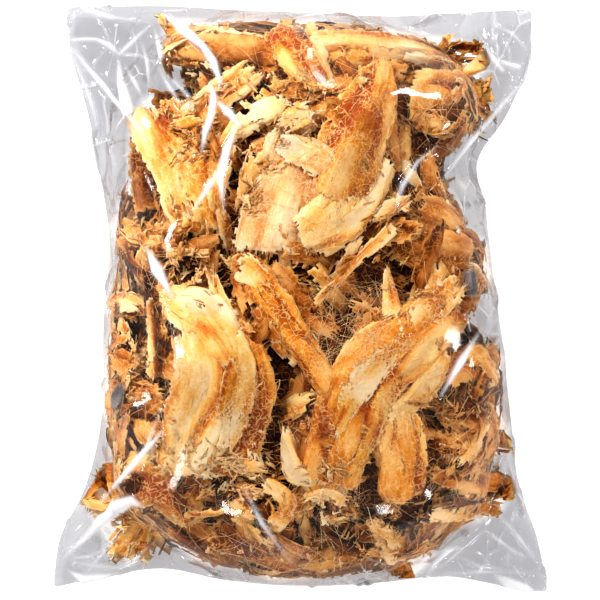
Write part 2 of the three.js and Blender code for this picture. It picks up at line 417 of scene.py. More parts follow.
ACROSS = Matrix(((0, 0, 1, 0), (1, 0, 0, 0), (0, 1, 0, 0), (0, 0, 0, 1)))  # bends a sheet about its length
EDGE_CELLS = 6  # how many cells in from its torn outline a sheet may go on getting thicker
EDGE_SHARE = 0.25  # what is left of the thickness at a torn edge


def cell_of(co, length, width, steps):
    """Where points lie on a flat sheet, counted in its cells along and across."""
    return co[:, 0] / length * steps[0], (co[:, 1] / width + 0.5) * steps[1]


def mark_sheet(sheet, inside, tone, rng):
    """Writes what the finish and the thickness read: grain, rim, tone and the weight of the sheet's body."""
    mesh = sheet.data
    co = read(mesh.vertices, "co", 3)
    place = Vector((rng.uniform(0, 9), rng.uniform(0, 9), rng.uniform(0, 9)))
    grain = np.column_stack([co[:, 0], co[:, 1], np.zeros(len(co))]) + np.array(place)[None] * 0.1
    write_values(mesh, "grain", "FLOAT_VECTOR", grain)
    write_values(mesh, "rim", "FLOAT", 1 - inside)
    drawn = rng.random()
    write_values(mesh, "tone", "FLOAT", np.full(len(co), drawn if tone is None else tone))
    body = sheet.vertex_groups.new(name="body")
    for level in range(EDGE_CELLS + 1):
        found = np.flatnonzero(np.rint(inside * EDGE_CELLS) == level)
        if len(found):
            body.add(found.tolist(), level / EDGE_CELLS, "REPLACE")
    return place


def tear(mesh, kept, length, width, steps):
    """Deletes the cells that aren't kept, and what hangs on no longer."""
    with edit_mode():
        bpy.ops.mesh.select_mode(type="FACE")
        bpy.ops.mesh.select_all(action="DESELECT")
    i, j = cell_of(read(mesh.polygons, "center", 3), length, width, steps)
    i = np.clip(i.astype(int), 0, steps[0] - 1)
    j = np.clip(j.astype(int), 0, steps[1] - 1)
    mesh.polygons.foreach_set("select", ~kept[i, j])
    with edit_mode():
        if not kept.all():
            bpy.ops.mesh.delete(type="FACE")
        bpy.ops.mesh.select_all(action="DESELECT")
    keep_linked(mesh, Vector((length / 2, 0, 0)))


def crumple(sheet, place, fold, ridge, crumb):
    """Pushes a flat sheet into folds, facets, ridges and crumbs, and writes how high it stands, which the finish
    paints as light on crests and shade in hollows.
    """
    made = [relief(sheet, *pattern, place) for pattern in (
        ("folds", "CLOUDS", 15 * MM, 2.6, 12 * MM * fold),
        ("crumple", "VORONOI", 13 * MM, 2.6, -4 * MM * fold),
        ("ridges", "CLOUDS", 3.0 * MM, 8, 0.8 * MM * ridge),
        ("crumb", "CLOUDS", 2.2 * MM, 1.6, MM * crumb),
    )]
    apply_modifiers(sheet)
    for guide, texture in made:
        bpy.data.objects.remove(guide)
        bpy.data.textures.remove(texture)
    height = read(sheet.data.vertices, "co", 3)[:, 2]
    low, high = np.percentile(height, (4, 96))
    # the sheet's height, which the finish turns into painted light on crests and painted shade in hollows
    write_values(sheet.data, "painted_relief_shade", "FLOAT", np.clip((height - low) / max(high - low, 1e-6), 0, 1))


def wrap(sheet, thick, curl, curve):
    """Gives a sheet its thickness, curls it about its length and leads it along a curve."""
    wall = sheet.modifiers.new("wall", "SOLIDIFY")
    wall.thickness = thick * MM
    wall.offset = 0
    wall.vertex_group = "body"
    wall.thickness_vertex_group = EDGE_SHARE
    helpers = [curve]
    if curl:
        axis = helper("curl_axis")
        axis.matrix_world = ACROSS
        helpers.append(axis)
        roll = sheet.modifiers.new("roll", "SIMPLE_DEFORM")
        roll.deform_method = "BEND"
        roll.deform_axis = "Z"
        roll.origin = axis
        roll.angle = math.radians(curl)
    lead = sheet.modifiers.new("lead", "CURVE")
    lead.object = curve
    lead.deform_axis = "POS_X"
    apply_modifiers(sheet)
    for guide in helpers:
        bpy.data.objects.remove(guide)
    sheet.vertex_groups.clear()


def fillet(points, widths, rng, tilt=0, curl=0, thick=2.5, fold=1.0, ridge=1.0, torn=1.0, lace=0.0, taper=0.4,
           tone=None, cell=CELL):
    """One piece of dried fish: a torn, crumpled sheet that is curled, thickened and led along a spine."""
    clear_selection()
    curve, length = spine(points, widths, tilt)
    width = max(widths)
    sheet, steps = blank(length, width, cell)
    kept = torn_mask(steps, length, width, torn, lace, taper, rng)
    i, j = cell_of(read(sheet.data.vertices, "co", 3), length, width, steps)
    depth = depth_in(kept, EDGE_CELLS)[np.rint(i).astype(int), np.rint(j).astype(int)]
    inside = np.clip(depth * (cell[0] + cell[1]) / 2 / THIN_EDGE, 0, 1)
    place = mark_sheet(sheet, inside, tone, rng)
    tear(sheet.data, kept, length, width, steps)
    with edit_mode():
        bpy.ops.mesh.select_all(action="SELECT")
        bpy.ops.transform.vertex_random(offset=0.35 * cell[1], seed=rng.randrange(999))
    crumple(sheet, place, fold, ridge, 0.15 + 0.4 * torn + 2.2 * lace)
    wrap(sheet, thick, curl, curve)
    return sheet


# ---------------------------------------------------------------- finishes

def linear(r, g, b):
    """A colour given as 0 to 255 on screen, as the shader needs it."""
    return tuple((c / 255) ** 2.2 for c in (r, g, b)) + (1,)


class Nodes:
    """Short ways to add and join the nodes of one material."""

    def __init__(self, name):
        self.mat = bpy.data.materials.new(name)
        self.mat.use_nodes = True
        self.tree = self.mat.node_tree
        self.shader = self.tree.nodes["Principled BSDF"]
        self.output = self.tree.nodes["Material Output"]

    def add(self, kind, **settings):
        """A new node with its settings."""
        node = self.tree.nodes.new(kind)
        for key, value in settings.items():
            setattr(node, key, value)
        return node

    def link(self, source, target):
        """Joins one socket to another."""
        self.tree.links.new(source, target)

    def attribute(self, name, socket="Fac"):
        """A value that the mesh carries at each point."""
        return self.add("ShaderNodeAttribute", attribute_name=name).outputs[socket]

    def noise(self, vector, scale=1, detail=2, rough=0.5, distortion=0.0, socket="Fac"):
        """Soft noise, 0 to 1."""
        node = self.add("ShaderNodeTexNoise")
        facts = {"Scale": scale, "Detail": detail, "Roughness": rough, "Distortion": distortion}
        for key, value in facts.items():
            node.inputs[key].default_value = value
        self.link(vector, node.inputs["Vector"])
        return node.outputs[socket]

    def cells(self, vector, scale=1, feature="F1"):
        """Cells of a tone each, or the distance to their edges."""
        node = self.add("ShaderNodeTexVoronoi", feature=feature)
        node.inputs["Scale"].default_value = scale
        self.link(vector, node.inputs["Vector"])
        return node.outputs["Color" if feature == "F1" else "Distance"]

    def bump(self, height, strength, distance):
        """A normal that makes a height show as relief."""
        node = self.add("ShaderNodeBump")
        node.inputs["Strength"].default_value = strength
        node.inputs["Distance"].default_value = distance
        self.link(height, node.inputs["Height"])
        return node.outputs["Normal"]

    def mix(self, share, under, over):
        """Two shaders, the second laid on the first by a share."""
        node = self.add("ShaderNodeMixShader")
        for source, target in zip((share, under, over), node.inputs):
            self.link(source, target)
        return node.outputs[0]

    def stretch(self, vector, scale):
        """A vector times a scale for each axis."""
        node = self.add("ShaderNodeVectorMath", operation="MULTIPLY")
        node.inputs[1].default_value = scale
        self.link(vector, node.inputs[0])
        return node.outputs[0]

    def sum(self, *terms, offset=0.0):
        """offset + each socket times its weight."""
        total = None
        for socket, weight in terms:
            node = self.add("ShaderNodeMath", operation="MULTIPLY_ADD")
            self.link(socket, node.inputs[0])
            node.inputs[1].default_value = weight
            if total is None:
                node.inputs[2].default_value = offset
            else:
                self.link(total, node.inputs[2])
            total = node.outputs[0]
        return total

    def times(self, a, b):
        node = self.add("ShaderNodeMath", operation="MULTIPLY")
        self.link(a, node.inputs[0])
        if isinstance(b, (int, float)):
            node.inputs[1].default_value = b
        else:
            self.link(b, node.inputs[1])
        return node.outputs[0]

    def between(self, socket, low, high, to_low=0.0, to_high=1.0, smooth=True):
        node = self.add("ShaderNodeMapRange", interpolation_type="SMOOTHSTEP" if smooth else "LINEAR")
        self.link(socket, node.inputs["Value"])
        for key, value in (("From Min", low), ("From Max", high), ("To Min", to_low), ("To Max", to_high)):
            node.inputs[key].default_value = value
        return node.outputs["Result"]

    def ramp(self, socket, stops):
        node = self.add("ShaderNodeValToRGB")
        elements = node.color_ramp.elements
        while len(elements) < len(stops):
            elements.new(0.5)
        for element, (at, colour) in zip(elements, stops):
            element.position = at
            element.color = colour
        self.link(socket, node.inputs["Fac"])
        return node.outputs["Color"]

    def blend(self, share, under, over):
        """under, with over laid on it by a share. Either may be a colour or a socket."""
        node = self.add("ShaderNodeMix", data_type="RGBA")
        for value, key in ((share, "Factor"), (under, "A"), (over, "B")):
            if isinstance(value, (tuple, float, int)):
                node.inputs[key].default_value = value
            else:
                self.link(value, node.inputs[key])
        return node.outputs["Result"]


FISH_TINT = (1, 0.8, 0.55, 1)  # what dried flesh does to a reflection
FISH_GLOW = ((1.0, 0.42, 0.12), 4 * MM)  # how light spreads in the pale kinds


def dried_fish(name, deep, main, pale, shine=0.42, web=0.5, glow=0.0, painted_fibre_glow=0.0, gloss=0.12):
    """Dried flesh: streaks along the fibres, hollows darkened by painted shade and crests paled by painted
    light, torn rims paled partly by painted light, and a net of fine fibres.
    """
    n = Nodes(name)
    grain = n.attribute("grain", "Vector")
    rim = n.attribute("rim")
    tone = n.attribute("tone")
    painted_relief_shade = n.attribute("painted_relief_shade")
    place = n.add("ShaderNodeTexCoord").outputs["Object"]
    streaks = n.noise(n.stretch(grain, (90, 800, 90)), detail=3, rough=0.6, distortion=0.6)
    bands = n.noise(n.stretch(grain, (26, 120, 26)), distortion=0.8)
    patches = n.noise(place, scale=52, distortion=0.6)
    specks = n.noise(place, scale=520, rough=0.6)
    # painted light and shade: the sheet's height pales its crests and darkens its hollows, on top of its own
    # streaks, bands, patches and tone
    level = n.sum((streaks, 0.55), (bands, 0.85), (patches, 0.8), (tone, 0.32), (specks, 0.12), (painted_relief_shade, 0.72),
                  offset=-1.34)
    colour = n.ramp(level, [(0.12, linear(*deep)), (0.46, linear(*main)), (0.92, linear(*pale))])

    wander = n.add("ShaderNodeVectorMath", operation="MULTIPLY_ADD")
    n.link(n.noise(place, scale=190, detail=1, rough=0.55, socket="Color"), wander.inputs[0])
    wander.inputs[1].default_value = (10 * MM, 10 * MM, 10 * MM)
    n.link(place, wander.inputs[2])
    edges = n.cells(wander.outputs[0], scale=250, feature="DISTANCE_TO_EDGE")
    net = n.times(n.between(edges, 0.015, 0.08, 1, 0), n.between(patches, 0.3, 0.5, 0.25, 1))
    colour = n.blend(n.times(net, web), colour, linear(*pale))
    # torn rims paled: partly the paler fibres of a thin edge, partly painted light for the light that comes
    # through it
    thin = n.between(n.sum((rim, 1.0), (specks, 0.6), offset=-0.3), 0.35, 0.95)
    colour = n.blend(n.times(thin, 0.75), colour, linear(*pale))
    rough = n.sum((specks, 0.35), (rim, 0.2), offset=shine - 0.15)
    normal = n.bump(n.sum((streaks, 0.45), (specks, 0.4)), strength=0.8, distance=0.8 * MM)

    inputs = n.shader.inputs
    n.link(colour, inputs["Base Color"])
    n.link(normal, inputs["Normal"])
    n.link(rough, inputs["Roughness"])
    inputs["Specular IOR Level"].default_value = gloss
    inputs["Specular Tint"].default_value = FISH_TINT
    n.link(colour, inputs["Emission Color"])
    inputs["Emission Strength"].default_value = painted_fibre_glow  # painted glow: emission standing in for the light that a hair-thin fibre lets through from behind
    inputs["Subsurface Weight"].default_value = glow
    inputs["Subsurface Radius"].default_value, inputs["Subsurface Scale"].default_value = FISH_GLOW
    return n.mat


# The kinds of flesh, with their hollows', main and crests' colours on screen. The hollows' and crests' colours
# serve partly as painted shade in the hollows and painted light on the crests.
KINDS = {
    "amber": dict(deep=(156, 66, 6), main=(222, 140, 46), pale=(247, 204, 134),
        shine=0.26, web=0.6, gloss=0.42, glow=0.22),
    "gold": dict(deep=(206, 112, 24), main=(240, 181, 94), pale=(248, 219, 174),
        shine=0.26, web=0.55, gloss=0.42, glow=0.22),
    "straw": dict(deep=(184, 104, 34), main=(230, 166, 84), pale=(244, 210, 160),
        shine=0.42, web=0.55, gloss=0.18),
    "cream": dict(deep=(212, 146, 84), main=(234, 188, 128), pale=(247, 222, 186),
        shine=0.36, web=0.6, gloss=0.22, glow=0.22),
    "tan": dict(deep=(104, 46, 10), main=(184, 106, 40), pale=(230, 174, 106), shine=0.42, web=0.5),
    "brown": dict(deep=(62, 24, 5), main=(132, 66, 20), pale=(206, 138, 68), shine=0.42, web=0.4),
    "umber": dict(deep=(20, 7, 2), main=(60, 25, 8), pale=(126, 70, 30), shine=0.42, web=0.3),
    "skin": dict(deep=(20, 17, 21), main=(66, 56, 62), pale=(146, 132, 126),
        shine=0.26, web=0.3, gloss=0.3),
    # web and fibre carry a painted glow, an emission that stands in for light let through them
    "web": dict(deep=(232, 196, 150), main=(250, 226, 190), pale=(255, 246, 230),
        shine=0.5, web=0.0, painted_fibre_glow=0.2),
    "fibre": dict(deep=(228, 168, 100), main=(248, 206, 146), pale=(255, 238, 206),
        shine=0.5, web=0.0, painted_fibre_glow=0.14),
}


FACETS = (48, 28, 40)  # how many of the creased film's facets there are to the metre
FOLD_PAINTED_HIGHLIGHT = 0.85  # painted highlight: how far a sharp fold is whitened, a little the creased plastic's own whitening and mostly its glints
# painted highlight: how far the crease lines where the film is empty are whitened
CREASE_PAINTED_HIGHLIGHT = 0.3
# the film's greys, from over the pile to where it is empty: a slight tint of its own, the rest painted shade
FILM_GREYS_AND_PAINTED_SHADE = [(0.0, (0.97, 0.97, 0.97, 1)), (0.5, (0.82, 0.82, 0.83, 1)), (1.0, (0.69, 0.69, 0.705, 1))]


def clear_film(name):
    """Thin clear plastic, crinkled at its seal strips: greyer where it is empty and patch by patch, partly its
    own tint and partly painted shade, and whitened along its folds by painted highlight.
    """
    n = Nodes(name)
    n.tree.nodes.remove(n.shader)
    bare = n.attribute("bare")
    strip = n.attribute("strip")
    fold = n.attribute("fold")
    place = n.add("ShaderNodeTexCoord").outputs["Object"]
    cloudy = n.noise(place, scale=38, rough=0.55)
    long_place = n.stretch(place, FACETS)
    facet_painted_grey = n.times(n.cells(long_place), bare)
    edges = n.cells(long_place, feature="DISTANCE_TO_EDGE")

    through = n.add("ShaderNodeBsdfTransparent")
    # painted shade: the film is greyed where it is empty, in clouds and patch by patch
    grey = n.sum((bare, 0.82), (cloudy, 0.9), (facet_painted_grey, 0.4), offset=-0.45)
    n.link(n.ramp(grey, FILM_GREYS_AND_PAINTED_SHADE), through.inputs["Color"])
    mirror = n.add("ShaderNodeBsdfGlossy")
    mirror.inputs["Roughness"].default_value = 0.09
    mirror.inputs["Color"].default_value = (1, 1, 1, 1)
    # painted highlight: a white diffuse laid over the folds and crease lines
    painted_highlight_white = n.add("ShaderNodeBsdfDiffuse")
    painted_highlight_white.inputs["Color"].default_value = (0.9, 0.9, 0.92, 1)

    wave = n.noise(place, scale=85, distortion=2.0)
    crinkle = n.times(n.noise(place, scale=520, rough=0.6, distortion=0.5), strip)
    crease = n.times(n.between(edges, 0.0, 0.09, 1, 0, smooth=False), bare)
    # painted highlight: thin white lines along the crease edges where the film is empty
    line = n.times(n.between(edges, 0.0, 0.03, 1, 0), n.times(n.between(cloudy, 0.42, 0.58), bare))
    ripple = n.sum((wave, 0.25), (crinkle, 1.6), (crease, 1.5))
    n.link(n.bump(ripple, strength=0.5, distance=0.6 * MM), mirror.inputs["Normal"])
    fresnel = n.add("ShaderNodeFresnel")
    fresnel.inputs["IOR"].default_value = 1.45
    share = n.between(fresnel.outputs[0], 0.0, 1.0, 0.022, 0.3, smooth=False)
    clear = n.mix(share, through.outputs[0], mirror.outputs[0])
    whitened = n.mix(n.sum((fold, FOLD_PAINTED_HIGHLIGHT), (line, CREASE_PAINTED_HIGHLIGHT)), clear, painted_highlight_white.outputs[0])
    n.link(whitened, n.output.inputs["Surface"])
    return n.mat


# ---------------------------------------------------------------- the pieces that show from above
# Each piece follows its fibres: pixel across, pixel down, width in pixels, millimetres below the film.

def flake(kind, path, **form):
    """A piece's kind, its path along its fibres and its form."""
    return kind, path, form


PIECES = {
    "crown_rim": flake("straw", [(162, 29, 16, 6), (215, 33, 18, 6), (262, 42, 10, 7)], tone=0.8,
        thick=2.4, curl=-90),
    "crown_stick": flake("tan", [(166, 48, 30, 12), (215, 48, 36, 12), (288, 66, 30, 14)], tone=0.4,
        thick=9, curl=-60, ridge=2.4),
    "crown_layer": flake("amber", [(166, 44, 14, 8), (205, 42, 16, 8), (240, 46, 9, 9)], thick=2.4),
    "stub": flake("amber", [(280, 25, 42, 4), (297, 55, 44, 3), (322, 92, 24, 8)], tone=0.3, thick=4.2,
        torn=0.6),
    "stub_skin": flake("skin", [(297, 22, 9, 2), (309, 50, 12, 1), (322, 80, 8, 6)], thick=2, torn=0.4),
    "stub_side": flake("straw", [(308, 24, 14, 4), (318, 50, 14, 4), (330, 92, 10, 9)], thick=2.4,
        tilt=-40),
    "crown_fillet": flake("straw", [(308, 44, 30, 7), (350, 38, 38, 4), (400, 44, 34, 4),
        (452, 62, 14, 8)], tone=0.8, thick=3.6, curl=-70, torn=0.6, ridge=1.5),
    "crown_under": flake("brown", [(316, 66, 26, 16), (350, 72, 34, 16), (396, 74, 24, 16)], thick=3),
    "crown_end": flake("brown", [(414, 37, 7, 5), (442, 48, 9, 6), (480, 50, 15, 7)], thick=3, curl=-60),
    "crown_hook": flake("amber", [(452, 70, 8, 8), (470, 66, 9, 8), (485, 70, 7, 9)], thick=1.8),
    "crown_web": flake("cream", [(404, 52, 16, 5), (432, 62, 18, 6), (462, 68, 10, 8)], thick=1.2),
    "shoulder": flake("amber", [(406, 94, 44, 6), (448, 92, 58, 4), (488, 104, 44, 7)], tone=0.4,
        thick=3.6, curl=-80, torn=0.6),
    "shoulder_torn": flake("umber", [(420, 118, 26, 12), (452, 122, 28, 11), (486, 116, 26, 11)], thick=3,
        torn=1.8, ridge=1.8),
    "shoulder_fibres": flake("brown", [(398, 84, 22, 12), (404, 108, 26, 13), (400, 130, 18, 15)],
        thick=1.8),
    "left_arm": flake("gold", [(138, 108, 34, 4), (152, 132, 44, 3), (172, 172, 40, 4), (186, 232, 26, 7)],
        tone=0.9, thick=2.4, curl=-70, torn=0.6),
    "left_arm_under": flake("amber", [(160, 104, 30, 8), (176, 122, 40, 8), (196, 150, 30, 9)], tone=0.4,
        thick=2.4),
    "left_flank": flake("tan", [(138, 142, 16, 10), (140, 172, 26, 10), (150, 214, 22, 12)], thick=3,
        curl=-60),
    "orange_heart": flake("amber", [(168, 138, 40, 7), (188, 132, 48, 5), (212, 128, 36, 6)], tone=0,
        thick=3, torn=2.0, ridge=2.2, fold=1.6),
    "spray_foot": flake("straw", [(226, 134, 30, 6), (216, 174, 38, 6), (194, 226, 28, 7)], thick=2,
        curl=-50, torn=1.4),
    "heart_low": flake("amber", [(184, 148, 34, 8), (204, 188, 40, 8), (214, 232, 26, 9)], tone=0.1,
        thick=2.4, torn=1.6, fold=1.3),
    "left_spray": flake("straw", [(184, 128, 26, 6), (212, 98, 42, 3), (256, 66, 30, 5)], tone=0.9,
        thick=2.4, curl=-40, torn=1.4),
    "spray_roll": flake("gold", [(214, 152, 12, 6), (240, 122, 18, 3), (288, 104, 16, 4)], tone=0.8,
        thick=6, curl=-120, torn=0.5),
    "neck_fluff": flake("tan", [(276, 88, 24, 8), (300, 86, 34, 6), (324, 92, 20, 9)], thick=3, torn=2.0),
    "knot": flake("gold", [(276, 128, 18, 4), (292, 116, 28, 2), (318, 108, 22, 4)], thick=3.6, curl=-60,
        torn=1.8, fold=1.8),
    "cream_window": flake("cream", [(276, 146, 22, 3), (304, 150, 38, 2), (338, 172, 30, 2),
        (352, 200, 12, 4)], tone=1, thick=1.6, curl=-40, torn=0.9),
    "broad_plate": flake("cream", [(276, 256, 88, 5), (282, 208, 88, 4), (306, 138, 76, 6)], tone=0.7,
        thick=1.8, curl=-30, torn=1.0, fold=0.5),
    "amber_fold": flake("amber", [(382, 58, 20, 3), (370, 98, 60, 2), (354, 148, 76, 2),
        (332, 200, 60, 3)], tone=0.55, thick=2.1, curl=-50, tilt=8, torn=0.7),
    "fold_foot": flake("gold", [(384, 158, 30, 5), (360, 198, 54, 2), (330, 226, 58, 2),
        (302, 242, 44, 4)], tone=0.8, thick=3, curl=-80, torn=0.6, ridge=1.6),
    "left_blade": flake("umber", [(222, 150, 30, 14), (212, 190, 36, 14), (205, 225, 26, 14)], thick=2.4),
    "straw_spikes": flake("straw", [(262, 150, 26, 6), (248, 184, 24, 7), (238, 216, 10, 9)], thick=1.8,
        torn=2.0, ridge=1.8),
    "keel": flake("amber", [(236, 250, 26, 6), (262, 284, 36, 2), (296, 338, 30, 3), (334, 396, 24, 5)],
        tone=0.35, thick=5, curl=-90, torn=0.5, ridge=1.8, fold=0.6),
    "keel_head": flake("gold", [(238, 262, 22, 4), (256, 272, 32, 1), (274, 296, 20, 2)], tone=1,
        thick=3.6, curl=-70, torn=0.8),
    "keel_web": flake("tan", [(268, 268, 30, 9), (292, 298, 36, 8), (338, 336, 20, 9)], thick=1.8,
        torn=1.6),
    "thin_blade": flake("straw", [(394, 226, 16, 3), (358, 258, 14, 2), (314, 304, 8, 3)], tone=0.8,
        thick=2.4, curl=-60, torn=0.3, ridge=1.8),
    "hollow_plate": flake("brown", [(345, 272, 36, 14), (372, 286, 44, 15), (402, 296, 36, 15)],
        thick=1.8),
    "lobe_plate": flake("tan", [(386, 236, 34, 9), (424, 252, 50, 8), (470, 262, 40, 9)], tone=0.4,
        thick=2.4, curl=-50, torn=0.8),
    "lobe_top": flake("straw", [(392, 232, 12, 6), (426, 242, 14, 5), (458, 236, 16, 6)], thick=1.8,
        torn=1.0),
    "small_blade": flake("gold", [(386, 266, 5, 4), (392, 302, 20, 2), (398, 350, 34, 3)], tone=0.9,
        thick=1.5, curl=-30, torn=0.4),
    "fuzzy_lobe": flake("straw", [(402, 344, 34, 5), (428, 312, 44, 3), (458, 278, 34, 5)], tone=0.6,
        thick=3, curl=-60, torn=1.6),
    "great_fillet": flake("amber", [(458, 300, 46, 6), (416, 336, 66, 3), (372, 366, 74, 2),
        (342, 420, 70, 2), (326, 496, 56, 4)], tone=0.6, thick=3.6, curl=-60, torn=0.8, ridge=1.4),
    "fillet_crest": flake("gold", [(408, 340, 18, 1), (372, 366, 28, 0), (346, 404, 26, 1),
        (334, 440, 12, 2)], tone=0.8, thick=1.4, curl=-60, torn=1.2),
    "fillet_side": flake("amber", [(404, 372, 18, 3), (380, 400, 24, 2), (368, 452, 18, 4)], tone=0.2,
        thick=1.6, curl=-40, torn=1.1),
    "eye_ring": flake("cream", [(466, 264, 10, 5), (480, 262, 12, 4), (486, 290, 10, 6)], thick=1.8),
    "eye": flake("skin", [(470, 266, 14, 4), (474, 282, 20, 4), (472, 300, 12, 6)], thick=1.8, torn=0.6),
    "lobe_fringe": flake("brown", [(452, 318, 22, 9), (464, 306, 26, 9), (476, 290, 18, 9)], thick=3,
        torn=1.6),
    "right_shoulder": flake("tan", [(414, 198, 34, 8), (438, 214, 44, 6), (462, 232, 30, 8)], tone=0.7,
        thick=1.8, torn=1.6, ridge=1.8),
    "right_tip": flake("tan", [(428, 150, 10, 6), (428, 172, 26, 6), (436, 196, 26, 8)], tone=0.6,
        thick=1.6, torn=1.8, ridge=1.8),
    "grey_veil": flake("cream", [(398, 160, 16, 12), (406, 172, 22, 12), (416, 190, 16, 13)], thick=1),
    "gold_cluster": flake("gold", [(372, 222, 20, 5), (392, 208, 30, 4), (412, 196, 20, 6)], thick=3,
        torn=1.6, fold=1.8),
    "gold_curl_head": flake("gold", [(160, 296, 22, 5), (184, 304, 42, 3), (214, 326, 50, 3),
        (236, 366, 36, 4)], tone=1, thick=2.4, curl=-60, torn=0.7),
    "gold_curl": flake("gold", [(196, 322, 60, 4), (212, 368, 92, 1), (200, 420, 84, 1),
        (182, 472, 50, 4)], tone=1, thick=2.7, curl=-45, torn=1.0, fold=0.9),
    "gold_curl_back": flake("amber", [(232, 320, 26, 6), (252, 362, 40, 5), (256, 412, 44, 5),
        (238, 462, 34, 7)], tone=0.1, thick=2.4, curl=-50, torn=0.7),
    "curl_lip": flake("gold", [(232, 330, 14, 3), (247, 368, 24, 1), (242, 410, 22, 1), (222, 452, 14, 3)],
        tone=0.9, thick=1.6, curl=-110, torn=1.0),
    "curl_hollow": flake("amber", [(232, 352, 14, 2), (232, 384, 24, 1), (222, 422, 14, 2)], tone=0.3,
        thick=1.2, torn=1.2, ridge=1.6),
    "gold_peak": flake("gold", [(213, 272, 8, 4), (216, 294, 20, 4), (228, 322, 24, 5)], tone=0.4,
        thick=2.4, curl=-70, torn=0.5),
    "curl_crumbs": flake("straw", [(150, 440, 26, 6), (172, 456, 34, 5), (204, 470, 26, 6)], thick=2.4,
        torn=2.0, fold=1.6),
    "left_block": flake("tan", [(106, 408, 30, 6), (134, 402, 38, 5), (168, 396, 30, 8)], thick=3.6,
        torn=1.4, ridge=1.6),
    "left_skin": flake("skin", [(110, 404, 14, 3), (118, 394, 20, 2), (126, 382, 14, 4)], thick=1.8,
        torn=1.0),
    # near-black flesh laid deep in a hollow: partly dark flesh, partly painted shade
    "left_hollow_painted_shade": flake("umber", [(128, 408, 14, 9), (146, 412, 20, 9), (166, 410, 14, 9)], thick=1.8),
    "left_sheet": flake("amber", [(114, 420, 22, 8), (122, 440, 34, 8), (120, 462, 20, 10)], thick=2),
    "left_shelf": flake("tan", [(120, 246, 14, 7), (148, 238, 22, 5), (186, 228, 14, 6)], thick=2.4,
        curl=-50),
    "left_knuckle": flake("amber", [(122, 222, 16, 9), (134, 232, 22, 9), (150, 246, 16, 9)], thick=3,
        torn=1.8),
    "diamond": flake("gold", [(106, 304, 8, 6), (126, 296, 34, 5), (144, 312, 18, 6)], thick=1.5,
        torn=0.4),
    "spindle": flake("straw", [(150, 298, 8, 4), (150, 338, 15, 3), (152, 378, 10, 5)], thick=2.4,
        curl=-60, torn=0.6),
    # near-black flesh laid deep between pieces: partly dark flesh, partly painted shade
    "left_dark_painted_shade": flake("umber", [(146, 266, 16, 10), (156, 282, 24, 10), (152, 304, 16, 11)], thick=2.4),
    "white_strip": flake("straw", [(166, 254, 10, 6), (188, 252, 14, 5), (212, 250, 12, 6)], thick=1.8,
        torn=1.6),
    "left_crumbs": flake("tan", [(110, 358, 22, 8), (126, 362, 34, 7), (144, 370, 20, 8)], thick=3,
        torn=2.0, fold=1.6),
    "lower_fan": flake("amber", [(98, 514, 26, 5), (106, 488, 50, 4), (140, 480, 60, 3), (172, 496, 56, 4),
        (198, 524, 30, 8)], tone=0.3, thick=2.4, curl=-50, torn=0.8, ridge=2.4),
    "fan_brush": flake("straw", [(158, 514, 12, 6), (134, 532, 26, 5), (112, 556, 30, 6)], thick=1.8,
        torn=2.0, ridge=2.2),
    "fan_brush_low": flake("amber", [(166, 520, 12, 9), (148, 540, 24, 8), (134, 564, 22, 8)], thick=1.8,
        torn=2.0, ridge=2.2),
    "pit_rim": flake("amber", [(180, 512, 8, 6), (206, 518, 9, 6), (230, 508, 8, 7)], thick=2.4, torn=1.2),
    "bottom_slab": flake("brown", [(166, 520, 30, 9), (206, 542, 44, 7), (240, 566, 26, 8)], thick=3,
        ridge=1.8),
    "bottom_plate": flake("tan", [(208, 530, 34, 8), (250, 548, 44, 7), (302, 566, 26, 8)], thick=2.4),
    "pointed_flake": flake("gold", [(286, 426, 6, 4), (288, 452, 26, 2), (304, 478, 26, 3),
        (334, 484, 12, 4)], tone=0.6, thick=2.2, curl=-90, torn=0.8, fold=1.4),
    "rosette_outer": flake("straw", [(262, 484, 14, 3), (286, 490, 18, 1), (290, 514, 18, 1),
        (270, 526, 16, 3)], tone=0.6, thick=5, curl=-90, torn=0.8),
    "rosette_inner": flake("amber", [(264, 500, 10, 4), (276, 508, 12, 3), (268, 520, 10, 4)], thick=2.4),
    "shards_left": flake("straw", [(206, 470, 20, 5), (238, 462, 28, 4), (268, 470, 22, 5)], thick=1.8,
        torn=2.2, fold=1.8),
    "shards_mid": flake("straw", [(300, 500, 18, 5), (322, 486, 28, 3), (352, 496, 24, 5)], thick=1.8,
        torn=2.2, fold=1.8),
    "shards_right": flake("tan", [(322, 520, 18, 8), (340, 508, 26, 6), (356, 516, 18, 8)], thick=1.8,
        torn=2.2),
    "inner_flake": flake("amber", [(374, 392, 20, 6), (356, 436, 36, 3), (348, 482, 24, 4)], tone=0.2,
        thick=3, curl=-60, torn=0.9),
    "boat": flake("gold", [(442, 350, 14, 5), (432, 376, 26, 3), (410, 402, 26, 2), (378, 420, 14, 4)],
        tone=0.55, thick=3, curl=-80, torn=0.4, ridge=1.3),
    "boat_hold": flake("tan", [(376, 398, 18, 8), (392, 388, 28, 7), (420, 362, 20, 8)], thick=1.8,
        ridge=2.0),
    "tongue": flake("amber", [(398, 408, 36, 5), (402, 448, 58, 2), (402, 502, 48, 4)], tone=0.35, thick=9,
        curl=-90, torn=0.4),
    "right_fan": flake("tan", [(436, 378, 26, 8), (464, 356, 40, 6), (498, 362, 30, 8)], thick=2.4,
        curl=-40),
    "right_fan_sheet": flake("amber", [(468, 346, 20, 5), (484, 362, 34, 4), (496, 386, 26, 6)], thick=2),
    "right_roll": flake("tan", [(440, 412, 22, 7), (474, 408, 34, 4), (500, 432, 32, 4),
        (482, 462, 26, 7)], tone=0.4, thick=3.6, curl=-80, torn=1.2),
    # near-black flesh laid deep in a pit: partly dark flesh, partly painted shade
    "right_pit_painted_shade": flake("umber", [(434, 436, 20, 14), (450, 442, 26, 14), (468, 444, 18, 14)], thick=2.4),
